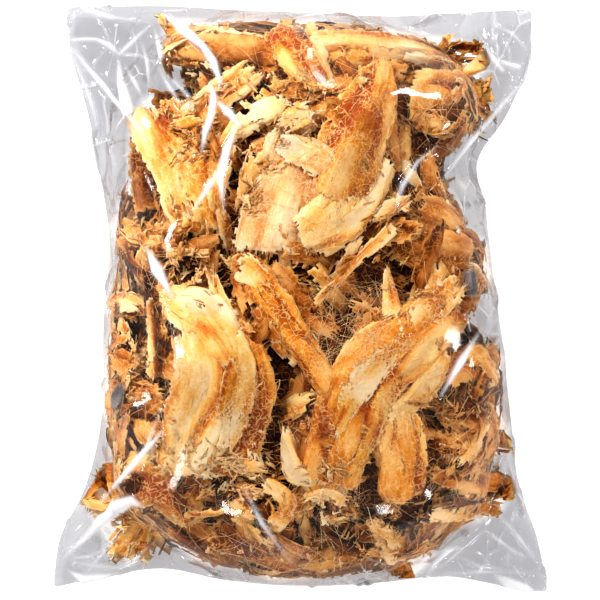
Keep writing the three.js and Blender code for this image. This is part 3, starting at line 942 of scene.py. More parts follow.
    "right_stick": flake("tan", [(430, 474, 16, 6), (468, 482, 26, 4), (512, 488, 24, 6)], thick=3.6,
        curl=-60, torn=1.0),
    "stick_heart": flake("umber", [(448, 502, 12, 7), (478, 498, 18, 5), (504, 490, 14, 6)], thick=3,
        torn=0.8),
    "stick_foot": flake("straw", [(426, 512, 20, 7), (450, 516, 24, 6), (500, 508, 14, 7)], thick=3,
        curl=-60),
    "crust_pale": flake("straw", [(370, 518, 12, 5), (382, 534, 20, 4), (396, 548, 16, 5)], thick=1.8,
        torn=1.4, fold=1.6),
    "crust_tan": flake("tan", [(372, 548, 22, 7), (400, 552, 34, 6), (432, 540, 24, 8)], thick=2.4,
        torn=1.6),
    "crust_point": flake("tan", [(384, 556, 22, 8), (400, 568, 24, 8), (412, 580, 6, 9)], thick=1.8),
    "bottom_pores": flake("umber", [(316, 528, 34, 9), (342, 540, 44, 8), (372, 548, 30, 9)], thick=3.6,
        torn=2.0, fold=1.8),
    "bottom_edge": flake("brown", [(240, 566, 18, 12), (310, 574, 22, 12), (376, 560, 20, 12)], thick=3,
        torn=1.2),
    "fan_tuft": flake("straw", [(450, 466, 24, 4), (472, 438, 42, 2), (490, 408, 32, 4)], tone=0.5,
        thick=1.6, curl=-70, torn=1.8, ridge=2),
    "fan_tuft_side": flake("tan", [(462, 478, 20, 4), (490, 456, 30, 3), (500, 424, 22, 4)], tone=0.6,
        thick=1.6, curl=-50, torn=1.8, ridge=2),
    "foot_crust": flake("straw", [(372, 520, 18, 4), (388, 538, 28, 3), (400, 562, 20, 5)], tone=0.4,
        thick=1.6, curl=-50, torn=1.9, ridge=2),
    "low_frill": flake("tan", [(300, 566, 16, 5), (330, 556, 26, 3), (362, 560, 18, 5)], tone=0.6,
        thick=1.6, curl=-50, torn=1.9, ridge=2),
}



# ---------------------------------------------------------------- many pieces as one mesh

# What a finish reads at each point, and how many numbers each value has
VALUES = {"grain": 3, "rim": 1, "tone": 1, "painted_relief_shade": 1}


def take(obj):
    """A finished piece's points, faces and values. The piece itself is removed."""
    mesh = obj.data
    form = {
        "co": read(mesh.vertices, "co", 3),
        "corners": read(mesh.loops, "vertex_index", kind=np.int32),
        "sides": read(mesh.polygons, "loop_total", kind=np.int32),
    }
    for name, width in VALUES.items():
        layer = mesh.attributes.get(name)
        blank_values = np.zeros((len(form["co"]), width) if width > 1 else len(form["co"]), np.float32)
        form[name] = read(layer.data, "vector" if width > 1 else "value", width) if layer else blank_values
    bpy.data.objects.remove(obj)
    bpy.data.meshes.remove(mesh)
    return form


def copies(master, axes, places, tones, shifts):
    """Copies of a form at several places, each with a tone and a stretch of the grain of its own."""
    count, points = len(places), len(master["co"])
    spots = np.einsum("nij,vj->nvi", axes, master["co"]) + places[:, None]
    steps = (np.arange(count) * points)[:, None]
    return {
        "co": spots.reshape(-1, 3),
        "corners": (master["corners"][None] + steps).ravel(),
        "sides": np.tile(master["sides"], count),
        "grain": (master["grain"][None] + shifts[:, None]).reshape(-1, 3),
        "rim": np.tile(master["rim"], count),
        "painted_relief_shade": np.tile(master["painted_relief_shade"], count),
        "tone": np.repeat(tones, points),
    }


def joined(name, forms, material, margins):
    """One piece of many forms, kept inside the film, with its finish and its place in the frame."""
    co = np.concatenate([form["co"] for form in forms])
    starts = np.cumsum([0] + [len(form["co"]) for form in forms])
    room = np.concatenate([np.full(len(form["co"]), margin) for form, margin in zip(forms, margins)])
    co = pressed_inside(co, room)
    corners = np.concatenate([form["corners"] + start for form, start in zip(forms, starts)])
    sides = np.concatenate([form["sides"] for form in forms])
    mesh = bpy.data.meshes.new(name)
    mesh.vertices.add(len(co))
    mesh.vertices.foreach_set("co", co.astype(np.float32).ravel())
    mesh.loops.add(len(corners))
    mesh.loops.foreach_set("vertex_index", corners.astype(np.int32))
    mesh.polygons.add(len(sides))
    mesh.polygons.foreach_set("loop_start", np.concatenate([[0], np.cumsum(sides)[:-1]]).astype(np.int32))
    mesh.update(calc_edges=True)
    for value, width in VALUES.items():
        kind = "FLOAT_VECTOR" if width > 1 else "FLOAT"
        write_values(mesh, value, kind, np.concatenate([form[value] for form in forms]))
    mesh.shade_smooth()
    mesh.materials.append(material)
    piece = bpy.data.objects.new(name, mesh)
    bpy.context.scene.collection.objects.link(piece)
    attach(piece, "root")
    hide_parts("bag")
    return piece


PIECE_MARGIN = 1.2 * MM  # how far inside the film a laid piece keeps


def lay_piece(rng, path, form):
    """The form of one piece, under the film where the camera sees it."""
    points = [under_film(px, py, sink) for px, py, _, sink in path]
    widths = [width * PIXEL for _, _, width, _ in path]
    return take(fillet(points, widths, rng, **form))


def make_pieces(materials):
    """The pieces that are laid by name, one mesh for each kind, and their forms."""
    rng = random.Random(11)
    by_kind = {}
    for kind, path, form in PIECES.values():
        by_kind.setdefault(kind, []).append(lay_piece(rng, path, form))
    meshes = [joined("flakes_" + kind, forms, materials[kind], [PIECE_MARGIN] * len(forms))
              for kind, forms in by_kind.items()]
    return meshes, [form for forms in by_kind.values() for form in forms]


# ---------------------------------------------------------------- what lies between and behind them

# The pile's outline as seen from above, in pixels
OUTLINE = [
    (132, 115), (130, 150), (131, 180), (120, 216), (111, 226), (121, 251), (129, 269), (116, 292),
    (105, 304), (114, 318), (106, 359), (106, 380), (102, 411), (108, 422), (115, 459), (96, 488),
    (92, 502), (96, 518), (108, 543), (131, 562), (148, 545), (173, 538), (193, 559), (251, 567),
    (270, 578), (315, 575), (372, 557), (410, 579), (428, 562), (442, 528), (475, 520), (500, 511),
    (513, 483), (482, 468), (504, 442), (507, 429), (495, 400), (503, 357), (480, 346), (466, 350),
    (454, 324), (475, 302), (491, 274), (485, 246), (461, 225), (462, 211), (443, 184), (439, 171),
    (428, 148), (417, 157), (405, 142), (431, 135), (475, 131), (488, 112), (479, 75), (485, 70),
    (479, 47), (421, 37), (370, 30), (312, 22), (268, 24), (165, 22), (165, 62), (221, 71), (206, 77),
    (193, 78), (187, 92), (174, 97), (151, 97), (142, 102),
]


def pixel_of(point):
    """Where the camera sees a point."""
    sight = point - EYE
    reach = (SEAM_HEIGHT - EYE.z) / sight.z
    return (
        MIDDLE_PIXEL[0] + (EYE.x + sight.x * reach) / PIXEL,
        MIDDLE_PIXEL[1] - (EYE.y + sight.y * reach) / PIXEL,
    )


def in_pixels(px, py):
    """Whether a pixel lies in the pile's outline."""
    inside = False
    for (ax, ay), (bx, by) in zip(OUTLINE, OUTLINE[1:] + OUTLINE[:1]):
        if (ay > py) != (by > py) and px < ax + (py - ay) / (by - ay) * (bx - ax):
            inside = not inside
    return inside


def in_outline(point):
    """Whether a point lies inside the outline of the pile."""
    return in_pixels(*pixel_of(point))


# Lumps that the core is fused from, in pixels: middle, half width and half height; and their depth in mm
LUMPS = [((300, 320), (150, 185), 46), ((305, 95), (70, 50), 34), ((325, 56), (135, 22), 26),
         ((250, 530), (110, 32), 26), ((440, 470), (52, 40), 24)]
CORE_FACE = 4 * MM
CORE_SHADE_HEIGHT = 55 * MM  # painted shade: the core is darkened from this height up, where it shows through the gaps, and paler towards its foot
CORE_HEIGHT = 14 * MM  # the least height of a lump's middle
CORE_MARGIN = 9 * MM  # how far inside the film the core keeps
# What makes the core craggy: size and strength
CRAGS = {"heaps": (26 * MM, 22 * MM), "crags": (8 * MM, 9 * MM), "grit": (3 * MM, 3 * MM)}


def make_lump(place, half_x, half_y, depth):
    """A rounded block of the core."""
    middle = Vector((place.x, place.y, max(CORE_HEIGHT, place.z / 2)))
    bpy.ops.mesh.primitive_cube_add(size=1, location=middle)
    lump = bpy.context.object
    lump.scale = (2 * half_x * PIXEL, 2 * half_y * PIXEL, depth * MM)
    bpy.ops.object.transform_apply()
    with edit_mode():
        bpy.ops.mesh.bevel(offset=depth * MM * 0.45, segments=4, affect="EDGES")
    return lump


def make_core(materials):
    """The crumbled heart of the pile, which shows only through the gaps, brown and darkened towards its top by
    painted shade.
    """
    clear_selection()
    lumps = [make_lump(under_film(px, py, 0), *halves, depth) for (px, py), halves, depth in LUMPS]
    for lump in lumps:
        lump.select_set(True)
    bpy.ops.object.join()
    core = bpy.context.object
    fuse = core.modifiers.new("fuse", "REMESH")
    fuse.mode = "VOXEL"
    fuse.voxel_size = CORE_FACE
    for name, (size, strength) in CRAGS.items():
        texture = bpy.data.textures.new(name, "CLOUDS")
        texture.noise_scale = size
        push = core.modifiers.new(name, "DISPLACE")
        push.texture = texture
        push.texture_coords = "LOCAL"
        push.strength = strength
    apply_modifiers(core)
    form = take(core)
    form["rim"][:] = 0
    form["grain"][:] = form["co"]
    # painted shade: the core's tone falls with height, so that the gaps seen from above are dark
    form["tone"][:] = np.clip(1 - form["co"][:, 2] / CORE_SHADE_HEIGHT, 0, 1)
    return joined("core", [form], materials["brown"], [CORE_MARGIN])


SIDE_BIAS = 3  # how much thicker the outer pieces lie on the steep sides than on the back
TOP_SLOPE = 0.45  # the film's top is where it faces up by more than this
ROOM = {True: 16 * MM, False: 7 * MM}  # the least depth of the pile under a spot on the top, and elsewhere


def film_spots(rng, count, top):
    """Random places on the film's filled part: point, way out and the room behind it."""
    mesh = BAG.data
    areas = [face.area * (1 if top else 1 + SIDE_BIAS * (1 - abs(face.normal.z))) for face in mesh.polygons]
    spots = []
    for face in rng.choices(range(len(areas)), weights=areas, k=count * 12):
        corners = [mesh.vertices[v].co for v in mesh.polygons[face].vertices]
        a, b = sorted((rng.random(), rng.random()))
        point = corners[0] * a + corners[1] * (b - a) + corners[2] * (1 - b)
        out = mesh.polygons[face].normal
        if top == (out.z > TOP_SLOPE):
            through = FILM_TREE.ray_cast(point - out * MM, -out)[0]
            room = (through - point).length if through else 0
            if room > ROOM[top]:
                spots.append((point, out.copy(), room))
        if len(spots) == count:
            break
    return spots


def turned(out, yaw, tip):
    """Axes for a flake that lies flat against a way out, turned by yaw and tipped."""
    side = Vector((1, 0, 0)) if abs(out.x) < 0.8 else Vector((0, 1, 0))
    along = (side - out * side.dot(out)).normalized()
    flat = Matrix((along, out.cross(along), out)).transposed()
    return flat @ Matrix.Rotation(yaw, 3, "Z") @ Matrix.Rotation(tip, 3, "Y")


def make_masters(rng, count, length, width, cell, thick, torn, curl, lace=0.0):
    """Plain flakes that are copied many times. Lengths and widths in millimetres."""
    masters = []
    for _ in range(count):
        long, wide = rng.uniform(*length) * MM, rng.uniform(*width) * MM
        bow, arch = rng.uniform(-0.12, 0.12) * long, rng.uniform(0, 0.12) * long
        points = [Vector((-long / 2, 0, 0)), Vector((0, bow, arch)), Vector((long / 2, 0, 0))]
        widths = [wide * rng.uniform(0.35, 0.8), wide, wide * rng.uniform(0.3, 0.9)]
        masters.append(take(fillet(
            points, widths, rng, curl=rng.uniform(*curl), thick=thick, torn=torn, fold=rng.uniform(0.5, 1.1),
            ridge=rng.uniform(0.8, 1.6), lace=lace, taper=1.1, cell=cell,
        )))
    return masters


def spread(rng, masters, frames, material, name, margin):
    """Copies of the masters at frames: (place, 3x3 axes, size)."""
    forms = []
    for k, master in enumerate(masters):
        mine = frames[k::len(masters)]
        if mine:
            axes = np.array([np.array(axes) * size for _, axes, size in mine])
            places = np.array([place for place, _, _ in mine])
            tones = np.array([rng.random() for _ in mine])
            shifts = np.array([[rng.uniform(0, 1) for _ in "xyz"] for _ in mine])
            forms.append(copies(master, axes, places, tones, shifts))
    margins = [rng.uniform(*margin) * MM for _ in forms]
    return joined(name, forms, material, margins)


# The filling's kinds and their shares: deep between the pieces on top, and on the sides and the back
DEEP = {"brown": 0.3, "tan": 0.34, "umber": 0.08, "amber": 0.22, "straw": 0.06}
OUTER = {"tan": 0.28, "amber": 0.27, "straw": 0.22, "brown": 0.18, "umber": 0.05}


# How the filling lies under the top and round the outside. First its pieces' length in millimetres and the cells
# of a sheet; then how many there are, how deep they sink in millimetres, how far along each side of its middle a
# piece has to lie in the outline, and the kinds' shares.
FILLING = {
    "under": ((28, 54), (3.4 * MM, 1.7 * MM),
              dict(top=True, count=350, sinks=(8, 18), reaches=(-18, -8, 8, 18), shares=DEEP)),
    "outer": ((32, 60), (4.4 * MM, 2.2 * MM),
              dict(top=False, count=740, sinks=(1, 8), reaches=(-13, 13), shares=OUTER)),
}


def lay_filling(rng, top, count, sinks, reaches, shares):
    """Frames for the filling's pieces, by kind."""
    frames = {kind: [] for kind in shares}
    laid = 0
    for point, out, room in film_spots(rng, 3 * count, top):
        place = point - out * min(room * 0.5, rng.uniform(*sinks) * MM)
        axes = turned(out, rng.uniform(0, math.tau), rng.gauss(0, 0.25))
        along = axes.col[0]
        if laid < count and all(in_outline(place + along * reach * MM) for reach in reaches):
            kind = rng.choices(list(shares), shares.values())[0]
            frames[kind].append((place, axes, rng.uniform(0.6, 1.0)))
            laid += 1
    return frames


def make_filling(materials):
    """The many smaller pieces under and between the ones that are listed, on every side of the pile."""
    rng = random.Random(23)
    pieces = []
    for side, (length, cell, facts) in FILLING.items():
        masters = make_masters(rng, 8, length, width=(10, 22), cell=cell, thick=2.2, torn=1.7, curl=(-80, 60))
        for kind, mine in lay_filling(rng, **facts).items():
            pieces.append(spread(rng, masters, mine, materials[kind], f"{side}_{kind}", (1.5, 4)))
    return pieces


# ---------------------------------------------------------------- fibres and crumbs

STRAND = 6 * MM  # the length of a plain fibre, and its radius at the root
STRAND_RADIUS = 0.18 * MM
WEB_RADIUS = 0.14 * MM


def make_strand(length, radius, cuts, bend):
    """A fine tapered fibre with three sides that starts at the origin, runs along X and bends."""
    clear_selection()
    bpy.ops.mesh.primitive_cone_add(vertices=3, radius1=radius, radius2=radius / 3, depth=length,
                                    rotation=(0, math.pi / 2, 0), location=(length / 2, 0, 0))
    strand = bpy.context.object
    bpy.ops.object.transform_apply()
    mesh = strand.data
    with edit_mode():
        bpy.ops.mesh.select_mode(type="EDGE")
        bpy.ops.mesh.select_all(action="DESELECT")
    for edge in mesh.edges:
        a, b = (mesh.vertices[v].co for v in edge.vertices)
        edge.select = abs(a.x - b.x) > length / 2
    with edit_mode():
        bpy.ops.mesh.subdivide(number_cuts=cuts)
        bpy.ops.mesh.select_all(action="SELECT")
        bpy.ops.transform.vertex_random(offset=0.6 * radius, seed=3)
    roll = strand.modifiers.new("roll", "SIMPLE_DEFORM")
    roll.deform_method = "BEND"
    roll.deform_axis = "Z"
    roll.angle = math.radians(bend)
    bpy.ops.object.modifier_apply(modifier="roll")
    form = take(strand)
    form["co"] = form["co"] - form["co"][form["co"][:, 0].argmin()] * (0, 1, 1)
    return form


def axes_along(ahead, up):
    """Axes with X along ahead and Z as near to up as it can be."""
    x = ahead.normalized()
    y = up.cross(x)
    y = y.normalized() if y.length > 1e-6 else x.orthogonal().normalized()
    return Matrix((x, y, x.cross(y))).transposed()


def rim_roots(rng, forms, count):
    """Points on torn edges, each with the way out of its piece."""
    sizes = [int((form["rim"] > 0.6).sum()) for form in forms]
    roots = []
    for form, size in zip(forms, sizes):
        edge = np.flatnonzero(form["rim"] > 0.6)
        heart = form["co"][form["rim"] < 0.2]
        if not size or not len(heart):
            continue
        for _ in range(round(count * size / sum(sizes))):
            at = form["co"][edge[rng.randrange(size)]]
            gap = np.linalg.norm(heart - at, axis=1)
            near = heart[np.argsort(gap)[:6]].mean(axis=0)
            roots.append((Vector(at), Vector(at - near)))
    return roots


def scattered(rng, way, spread_by):
    """A direction, turned a little by chance."""
    return (way.normalized() + Vector([rng.gauss(0, spread_by) for _ in "xyz"])).normalized()


def make_fuzz(material, forms):
    """Fine pale fibres that stand out of the torn edges."""
    rng = random.Random(37)
    masters = [make_strand(STRAND, STRAND_RADIUS, 1, bend) for bend in (20, -45, 70, -15)]
    frames = []
    for root, way in rim_roots(rng, forms, 8000):
        heading = scattered(rng, way, 0.55)
        up = Vector([rng.gauss(0, 1) for _ in "xyz"])
        frames.append((root - heading * 0.6 * MM, axes_along(heading, up), rng.uniform(0.3, 1.0)))
    return spread(rng, masters, frames, material, "fuzz", (0.5, 1))


def pile_below(trees, point, out):
    """Where the pile shows under a place on the film, as point and face normal, or nothing."""
    best, least = None, math.inf
    for tree in trees:
        hit, normal, _, distance = tree.ray_cast(point - out * 0.5 * MM, -out)
        if hit and distance < least:
            best, least = (hit, normal if normal.dot(out) > 0 else -normal), distance
    return best


def film_over(rng, zone, count):
    """Random places on the film over a zone of pixels."""
    x0, y0, x1, y1 = zone
    spots = []
    for _ in range(count):
        point = under_film(rng.uniform(x0, x1), rng.uniform(y0, y1), 0)
        spots.append((point, (EYE - point).normalized()))
    return spots


# Where fine fibres span the gaps or lie in a web, in pixels, and how many there are
WEBS = {
    "middle": ((316, 282, 388, 362), 260), "left_of_fold": ((262, 130, 352, 246), 130),
    "fold": ((330, 90, 384, 200), 30), "shoulder": ((405, 90, 488, 128), 60),
    "crown": ((300, 30, 470, 80), 50), "stick": ((425, 470, 512, 515), 60),
    "foot": ((300, 480, 400, 575), 90), "left": ((105, 215, 170, 420), 110),
    "slab": ((150, 470, 300, 570), 120), "right": ((400, 340, 505, 470), 110),
}
# Where the flesh has crumbled into scraps and splinters: the pixels, how many, and their kinds
CRUMBLED = {
    "curl_foot": ((148, 436, 216, 474), 120, "gold straw"),
    "left_of_knob": ((200, 440, 270, 500), 130, "straw gold"),
    "below_flake": ((296, 462, 358, 522), 130, "straw tan gold"),
    "neck": ((268, 74, 326, 112), 80, "tan gold"),
    "knot": ((276, 112, 322, 150), 60, "straw gold"),
    "orange_heart": ((166, 108, 216, 162), 110, "amber brown"),
    "spray": ((186, 62, 262, 134), 80, "straw gold"),
    "spikes": ((236, 148, 264, 218), 70, "straw tan"),
    "right_of_fold": ((364, 150, 412, 232), 80, "amber tan"),
    "left_knuckle": ((114, 214, 168, 256), 80, "amber tan"),
    "left_crumbs": ((106, 346, 152, 400), 90, "tan straw"),
    "right_roll": ((408, 400, 506, 470), 90, "tan brown"),
    "foot": ((316, 500, 432, 576), 150, "tan straw brown"),
    "strip": ((160, 248, 226, 288), 60, "tan straw"),
    "lobe": ((402, 280, 462, 346), 50, "tan gold"),
    "brush": ((110, 516, 166, 560), 60, "tan straw"),
    "shoulder": ((400, 110, 488, 136), 60, "brown tan"),
    "middle": ((300, 256, 400, 330), 70, "tan brown"),
    "right_edge": ((476, 350, 508, 510), 80, "tan straw amber"),
    "low_edge": ((200, 545, 440, 582), 110, "tan straw"),
}
ELSEWHERE = "tan amber straw"


def crumbled_spots(rng, share, top, below):
    """Places on the film over the crumbled zones, and others over the whole pile, each with its kind."""
    spots = []
    for zone, count, kinds in CRUMBLED.values():
        spots += [(spot, rng.choice(kinds.split())) for spot in film_over(rng, zone, round(count * share))]
    for spot in film_spots(rng, top, True) + film_spots(rng, below, False):
        spots.append((spot[:2], rng.choice(ELSEWHERE.split())))
    return spots


def make_webs(material, trees):
    """Long thin fibres that lie across the pieces, in webs where the flesh was pulled apart."""
    rng = random.Random(41)
    masters = [make_strand(20 * MM, WEB_RADIUS, 4, bend) for bend in (12, -28, 5)]
    places = [(spot, 4.5) for zone, count in WEBS.values() for spot in film_over(rng, zone, count)]
    places += [(spot[:2], 1.2) for spot in film_spots(rng, 400, True) + film_spots(rng, 600, False)]
    frames = []
    for spot, lift in places:
        found = pile_below(trees, *spot)
        if found:
            hit, normal = found
            heading = scattered(rng, turned(normal, rng.uniform(0, math.tau), 0).col[0], 0.12)
            size = rng.uniform(0.3, 1.0)
            middle = hit + spot[1] * rng.uniform(0.1, lift) * MM
            frames.append((middle - heading * size * 10 * MM, axes_along(heading, normal), size))
    return spread(rng, masters, frames, material, "webs", (0.6, 1.2))


def strew(name, masters, spots, trees, materials, rng, lift, tip, size):
    """Lays copies of the masters on the pile, one mesh for each kind."""
    frames = {}
    for spot, kind in spots:
        found = pile_below(trees, *spot)
        if found:
            hit, normal = found
            axes = turned(normal, rng.uniform(0, math.tau), rng.gauss(0, tip))
            place = hit + normal * rng.uniform(0, lift) * MM
            frames.setdefault(kind, []).append((place, axes, rng.uniform(*size)))
    return [
        spread(rng, masters, mine, materials[kind], f"{name}_{kind}", (0.8, 2))
        for kind, mine in frames.items()
    ]


def make_scraps(materials, trees):
    """Torn, thin scraps where the flesh has crumbled, and a few elsewhere."""
    rng = random.Random(47)
    masters = make_masters(rng, 7, length=(9, 20), width=(6, 12), cell=(1.3 * MM, 0.9 * MM), thick=0.8, torn=2.4,
                           curl=(-140, 120), lace=0.6)
    spots = crumbled_spots(rng, share=0.13, top=40, below=30)
    return strew("scraps", masters, spots, trees, materials, rng, lift=1.0, tip=0.5, size=(0.6, 1.1))


def make_splinters(materials, trees):
    """Small splinters, thick in the crumbled places and sparse elsewhere."""
    rng = random.Random(43)
    masters = make_masters(rng, 10, length=(5, 15), width=(1.6, 4.4), cell=(2.4 * MM, 1.3 * MM), thick=0.6,
                           torn=0.8, curl=(-110, 110))
    spots = crumbled_spots(rng, share=0.35, top=200, below=260)
    return strew("splinters", masters, spots, trees, materials, rng, lift=1.4, tip=0.5, size=(0.4, 1.0))


# ---------------------------------------------------------------- the film

# Folds in the film, as the camera sees them: pixel across, pixel down, half width in pixels
FOLDS = {
    "top_arc": [(74, 5, 3), (98, 14, 6), (112, 18, 5), (126, 20, 4), (150, 23, 3)],
    "star_left": [(66, 41, 3), (80, 40, 5), (97, 40, 5), (109, 45, 6), (119, 55, 5)],
    "star_up": [(119, 55, 5), (129, 46, 6), (140, 35, 5), (153, 24, 3)],
    "star_side": [(153, 24, 2), (158, 40, 5), (162, 57, 6)],
    "star_right": [(119, 55, 4), (140, 56, 4), (157, 63, 3)],
    "star_wedge": [(118, 56, 3), (121, 80, 7), (128, 110, 10)],
    "corner_long": [(66, 42, 3), (84, 63, 5), (105, 88, 6), (128, 115, 5), (140, 130, 5), (152, 144, 3)],
    "corner_edge": [(67, 44, 3), (80, 72, 4), (92, 103, 5), (98, 128, 3)],
    "notch_one": [(157, 65, 2), (170, 88, 5), (180, 103, 4)],
    "notch_two": [(157, 65, 2), (174, 82, 4), (189, 97, 5)],
    "crown_sweep": [(166, 15, 4), (183, 31, 9), (203, 47, 7), (213, 62, 8), (221, 84, 5)],
    "cross_one": [(210, 82, 3), (214, 97, 7), (212, 115, 7), (206, 132, 7), (202, 156, 3)],
    "cross_two": [(214, 99, 4), (230, 114, 8), (240, 126, 5)],
    "cross_tail": [(238, 122, 4), (227, 150, 8), (220, 176, 8), (224, 213, 3)],
    "cross_low": [(226, 160, 3), (208, 188, 7), (189, 217, 3)],
    "side_flash": [(148, 248, 4), (158, 270, 10), (171, 293, 5)],
    "right_tick": [(473, 27, 2), (485, 45, 4), (494, 60, 6), (502, 71, 5)],
    "right_tick_two": [(493, 59, 3), (505, 64, 6), (518, 67, 6)],
    "right_arc": [(500, 30, 3), (494, 41, 4), (485, 46, 2)],
    "right_band": [(526, 79, 3), (503, 104, 5), (485, 124, 6), (470, 140, 6), (455, 160, 5), (441, 182, 3)],
    "right_spindle": [(437, 146, 3), (417, 162, 5), (402, 186, 6), (394, 212, 3)],
    "right_side": [(478, 172, 3), (484, 196, 5), (488, 222, 3)],
    "right_middle": [(481, 328, 3), (460, 362, 8), (440, 396, 4)],
    "corner_wedge": [(57, 564, 2), (80, 543, 6), (100, 522, 9), (118, 507, 13), (132, 500, 9), (144, 506, 4)],
    "left_band": [(163, 432, 4), (150, 446, 7), (132, 468, 7), (110, 492, 5), (88, 516, 4)],
    "foot_patch": [(70, 571, 4), (85, 580, 9), (104, 578, 8), (122, 574, 4)],
    "foot_line": [(74, 562, 3), (96, 566, 4), (118, 568, 4), (136, 559, 4), (155, 540, 3)],
    "left_low": [(162, 408, 3), (150, 440, 5), (140, 472, 3)],
    "middle_v": [(244, 488, 3), (262, 522, 6), (291, 562, 3)],
    "right_foot_one": [(484, 529, 3), (498, 540, 6), (510, 549, 6), (523, 556, 3)],
    "right_foot_two": [(499, 515, 3), (512, 530, 6), (524, 546, 5), (536, 562, 3)],
    "right_foot_patch": [(493, 574, 4), (507, 582, 10), (524, 588, 9), (538, 594, 4)],
    "right_foot_band": [(424, 579, 3), (434, 562, 7), (447, 550, 7), (462, 545, 3)],
    "right_foot_line": [(426, 576, 3), (452, 573, 4), (482, 571, 5), (532, 573, 3)],
    "foot_facet_one": [(426, 576, 2), (450, 558, 5), (484, 529, 3)],
    "foot_facet_two": [(446, 552, 2), (480, 566, 5), (520, 571, 3)],
    "foot_facet_three": [(466, 546, 2), (486, 560, 4), (498, 578, 3)],
    "foot_facet_four": [(512, 530, 2), (507, 556, 4), (510, 580, 3)],
    "star_low": [(109, 47, 2), (96, 62, 4), (88, 78, 2)],
    "star_fan": [(121, 58, 2), (136, 84, 5), (146, 104, 2)],
    "star_top": [(97, 14, 2), (106, 32, 4), (112, 46, 2)],
    "star_cross": [(140, 36, 2), (148, 62, 5), (150, 92, 3)],
    "left_foot_one": [(66, 560, 2), (88, 556, 5), (112, 546, 3)],
    "left_foot_two": [(84, 578, 2), (100, 556, 5), (118, 538, 3)],
    "right_top_one": [(498, 26, 2), (508, 48, 4), (512, 72, 3)],
    "right_top_two": [(486, 22, 2), (512, 34, 5), (528, 52, 3)],
    "right_edge_line": [(503, 436, 3), (513, 478, 5), (525, 512, 4), (536, 545, 3)],
}
FOLD_STEEP = 0.48  # a fold's height for its half width

# The sealed side edges, in pixels, and the width of the strip along them
EDGES = [
    [(65, 4), (66, 41), (78, 71), (95, 143), (105, 201), (111, 254), (104, 295), (98, 430),
     (83, 491), (63, 529), (52, 562), (50, 590)],
    [(535, 5), (530, 60), (524, 78), (507, 116), (477, 152), (485, 208), (493, 279), (512, 429),
     (521, 495), (537, 536), (550, 574), (551, 595)],
]
STRIP_WIDTH = 11


def seen_at(co):
    """The pixels of many points."""
    sight = co - np.array(EYE)
    reach = (SEAM_HEIGHT - EYE.z) / sight[:, 2:]
    flat = np.array(EYE)[:2] + sight[:, :2] * reach
    return np.array(MIDDLE_PIXEL) + flat / PIXEL * (1, -1)


def fold_share(points, lines, steep):
    """How high each point stands on the steepest of the folds that it is near."""
    lift = np.zeros(len(points))
    for line in lines:
        for start, end in zip(line, line[1:]):
            a, b = np.array(start[:-1]), np.array(end[:-1])
            run = b - a
            t = np.clip((points - a) @ run / (run @ run), 0, 1)
            gap = np.linalg.norm(points - a - t[:, None] * run, axis=1)
            half = start[-1] + (end[-1] - start[-1]) * t
            share = np.clip(1 - gap / half, 0, 1)
            lift = np.maximum(lift, half * steep * (0.5 - 0.5 * np.cos(math.pi * share)))
    return lift


def wandering_folds(rng, count):
    """Short folds that wander over the film's back and sides: points and half widths in metres."""
    lines = []
    mesh = BAG.data
    areas = [face.area for face in mesh.polygons]
    for face in rng.choices(range(len(areas)), weights=areas, k=count * 3):
        out = mesh.polygons[face].normal
        if out.z > 0.6 or len(lines) == count:
            continue
        point = mesh.polygons[face].center.copy()
        heading = turned(out, rng.uniform(0, math.tau), 0).col[0]
        width = rng.uniform(2, 4) * MM
        line = []
        for step in range(rng.randint(3, 7)):
            line.append((*point, width if step else width / 3))
            point, out, _, _ = FILM_TREE.find_nearest(point + heading * rng.uniform(6, 11) * MM)
            heading = (heading + Vector([rng.gauss(0, 0.2) for _ in "xyz"])).normalized()
        line[-1] = (*line[-1][:3], width / 3)
        lines.append(line)
    return lines


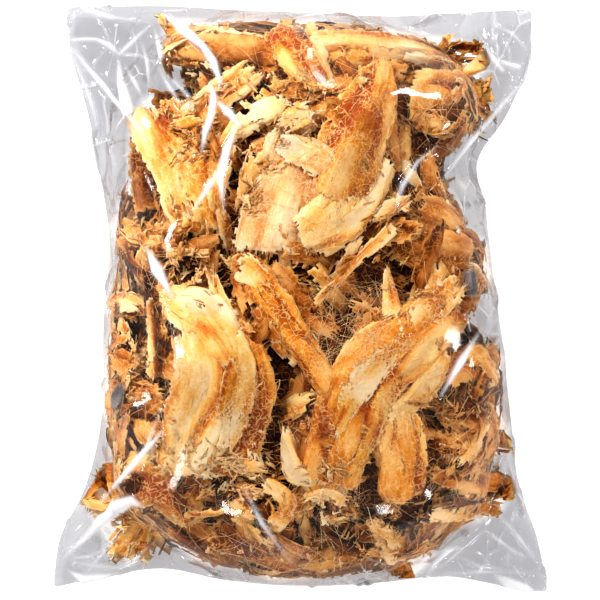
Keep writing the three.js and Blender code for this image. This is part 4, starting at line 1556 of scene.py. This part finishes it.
def make_film():
    """The film: folded where the camera sees folds and at random behind, with the values its finish reads."""
    clear_selection()
    FILM.select_set(True)
    bpy.context.view_layer.objects.active = FILM
    subdivide_once(FILM, "second")
    mesh = FILM.data
    mesh.materials.clear()
    mesh.materials.append(clear_film("clear_film"))
    co = read(mesh.vertices, "co", 3).astype(float)
    out = read(mesh.vertices, "normal", 3).astype(float)
    pixels = seen_at(co)
    top = np.clip(out[:, 2] * 4, 0, 1)
    fold = fold_share(pixels, FOLDS.values(), FOLD_STEEP) * PIXEL * top
    under = fold_share(co, wandering_folds(random.Random(5), 150), FOLD_STEEP) * (1 - top)
    lift = fold + under
    moved = co + out * lift[:, None]
    moved[:, 2] = np.maximum(moved[:, 2], CAD_BOX[0][2])  # no fold goes below what the bag lies on
    mesh.vertices.foreach_set("co", moved.astype(np.float32).ravel())
    edge = fold_share(pixels, [[(*p, STRIP_WIDTH) for p in line] for line in EDGES], 1 / STRIP_WIDTH)
    ears = np.clip((np.abs(pixels[:, 1] - 295) - 170) / 40, 0, 1)
    outline = [(*p, 8) for p in OUTLINE + OUTLINE[:1]]
    near = fold_share(pixels, [outline], 1 / 8)
    inside = np.array([in_pixels(px, py) for px, py in pixels.tolist()])
    # where the film is empty, which its finish greys with painted shade
    write_values(mesh, "bare", "FLOAT", np.where(inside, 0.0, 1 - 0.6 * near))
    write_values(mesh, "strip", "FLOAT", np.clip(edge * 4, 0, 1) * ears)
    # how high a fold stands, which the finish whitens as painted highlight
    write_values(mesh, "fold", "FLOAT", np.clip(lift / MM / 1.6, 0, 1) ** 2.5)
    bpy.ops.object.shade_smooth()
    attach(FILM, "root")
    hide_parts("bag")
    keep_gloss_off(FILM)


set_camera()
set_light()
make_floor()
MATERIALS = {kind: dried_fish(kind + "_flesh", **look) for kind, look in KINDS.items()}
flakes, flake_forms = make_pieces(MATERIALS)
core = make_core(MATERIALS)
filling = make_filling(MATERIALS)
view_layer = bpy.context.evaluated_depsgraph_get()
trees = [BVHTree.FromObject(piece, view_layer) for piece in (*flakes, *filling, core)]
make_fuzz(MATERIALS["fibre"], flake_forms)
make_webs(MATERIALS["web"], trees)
make_scraps(MATERIALS, trees)
make_splinters(MATERIALS, trees)
make_film()
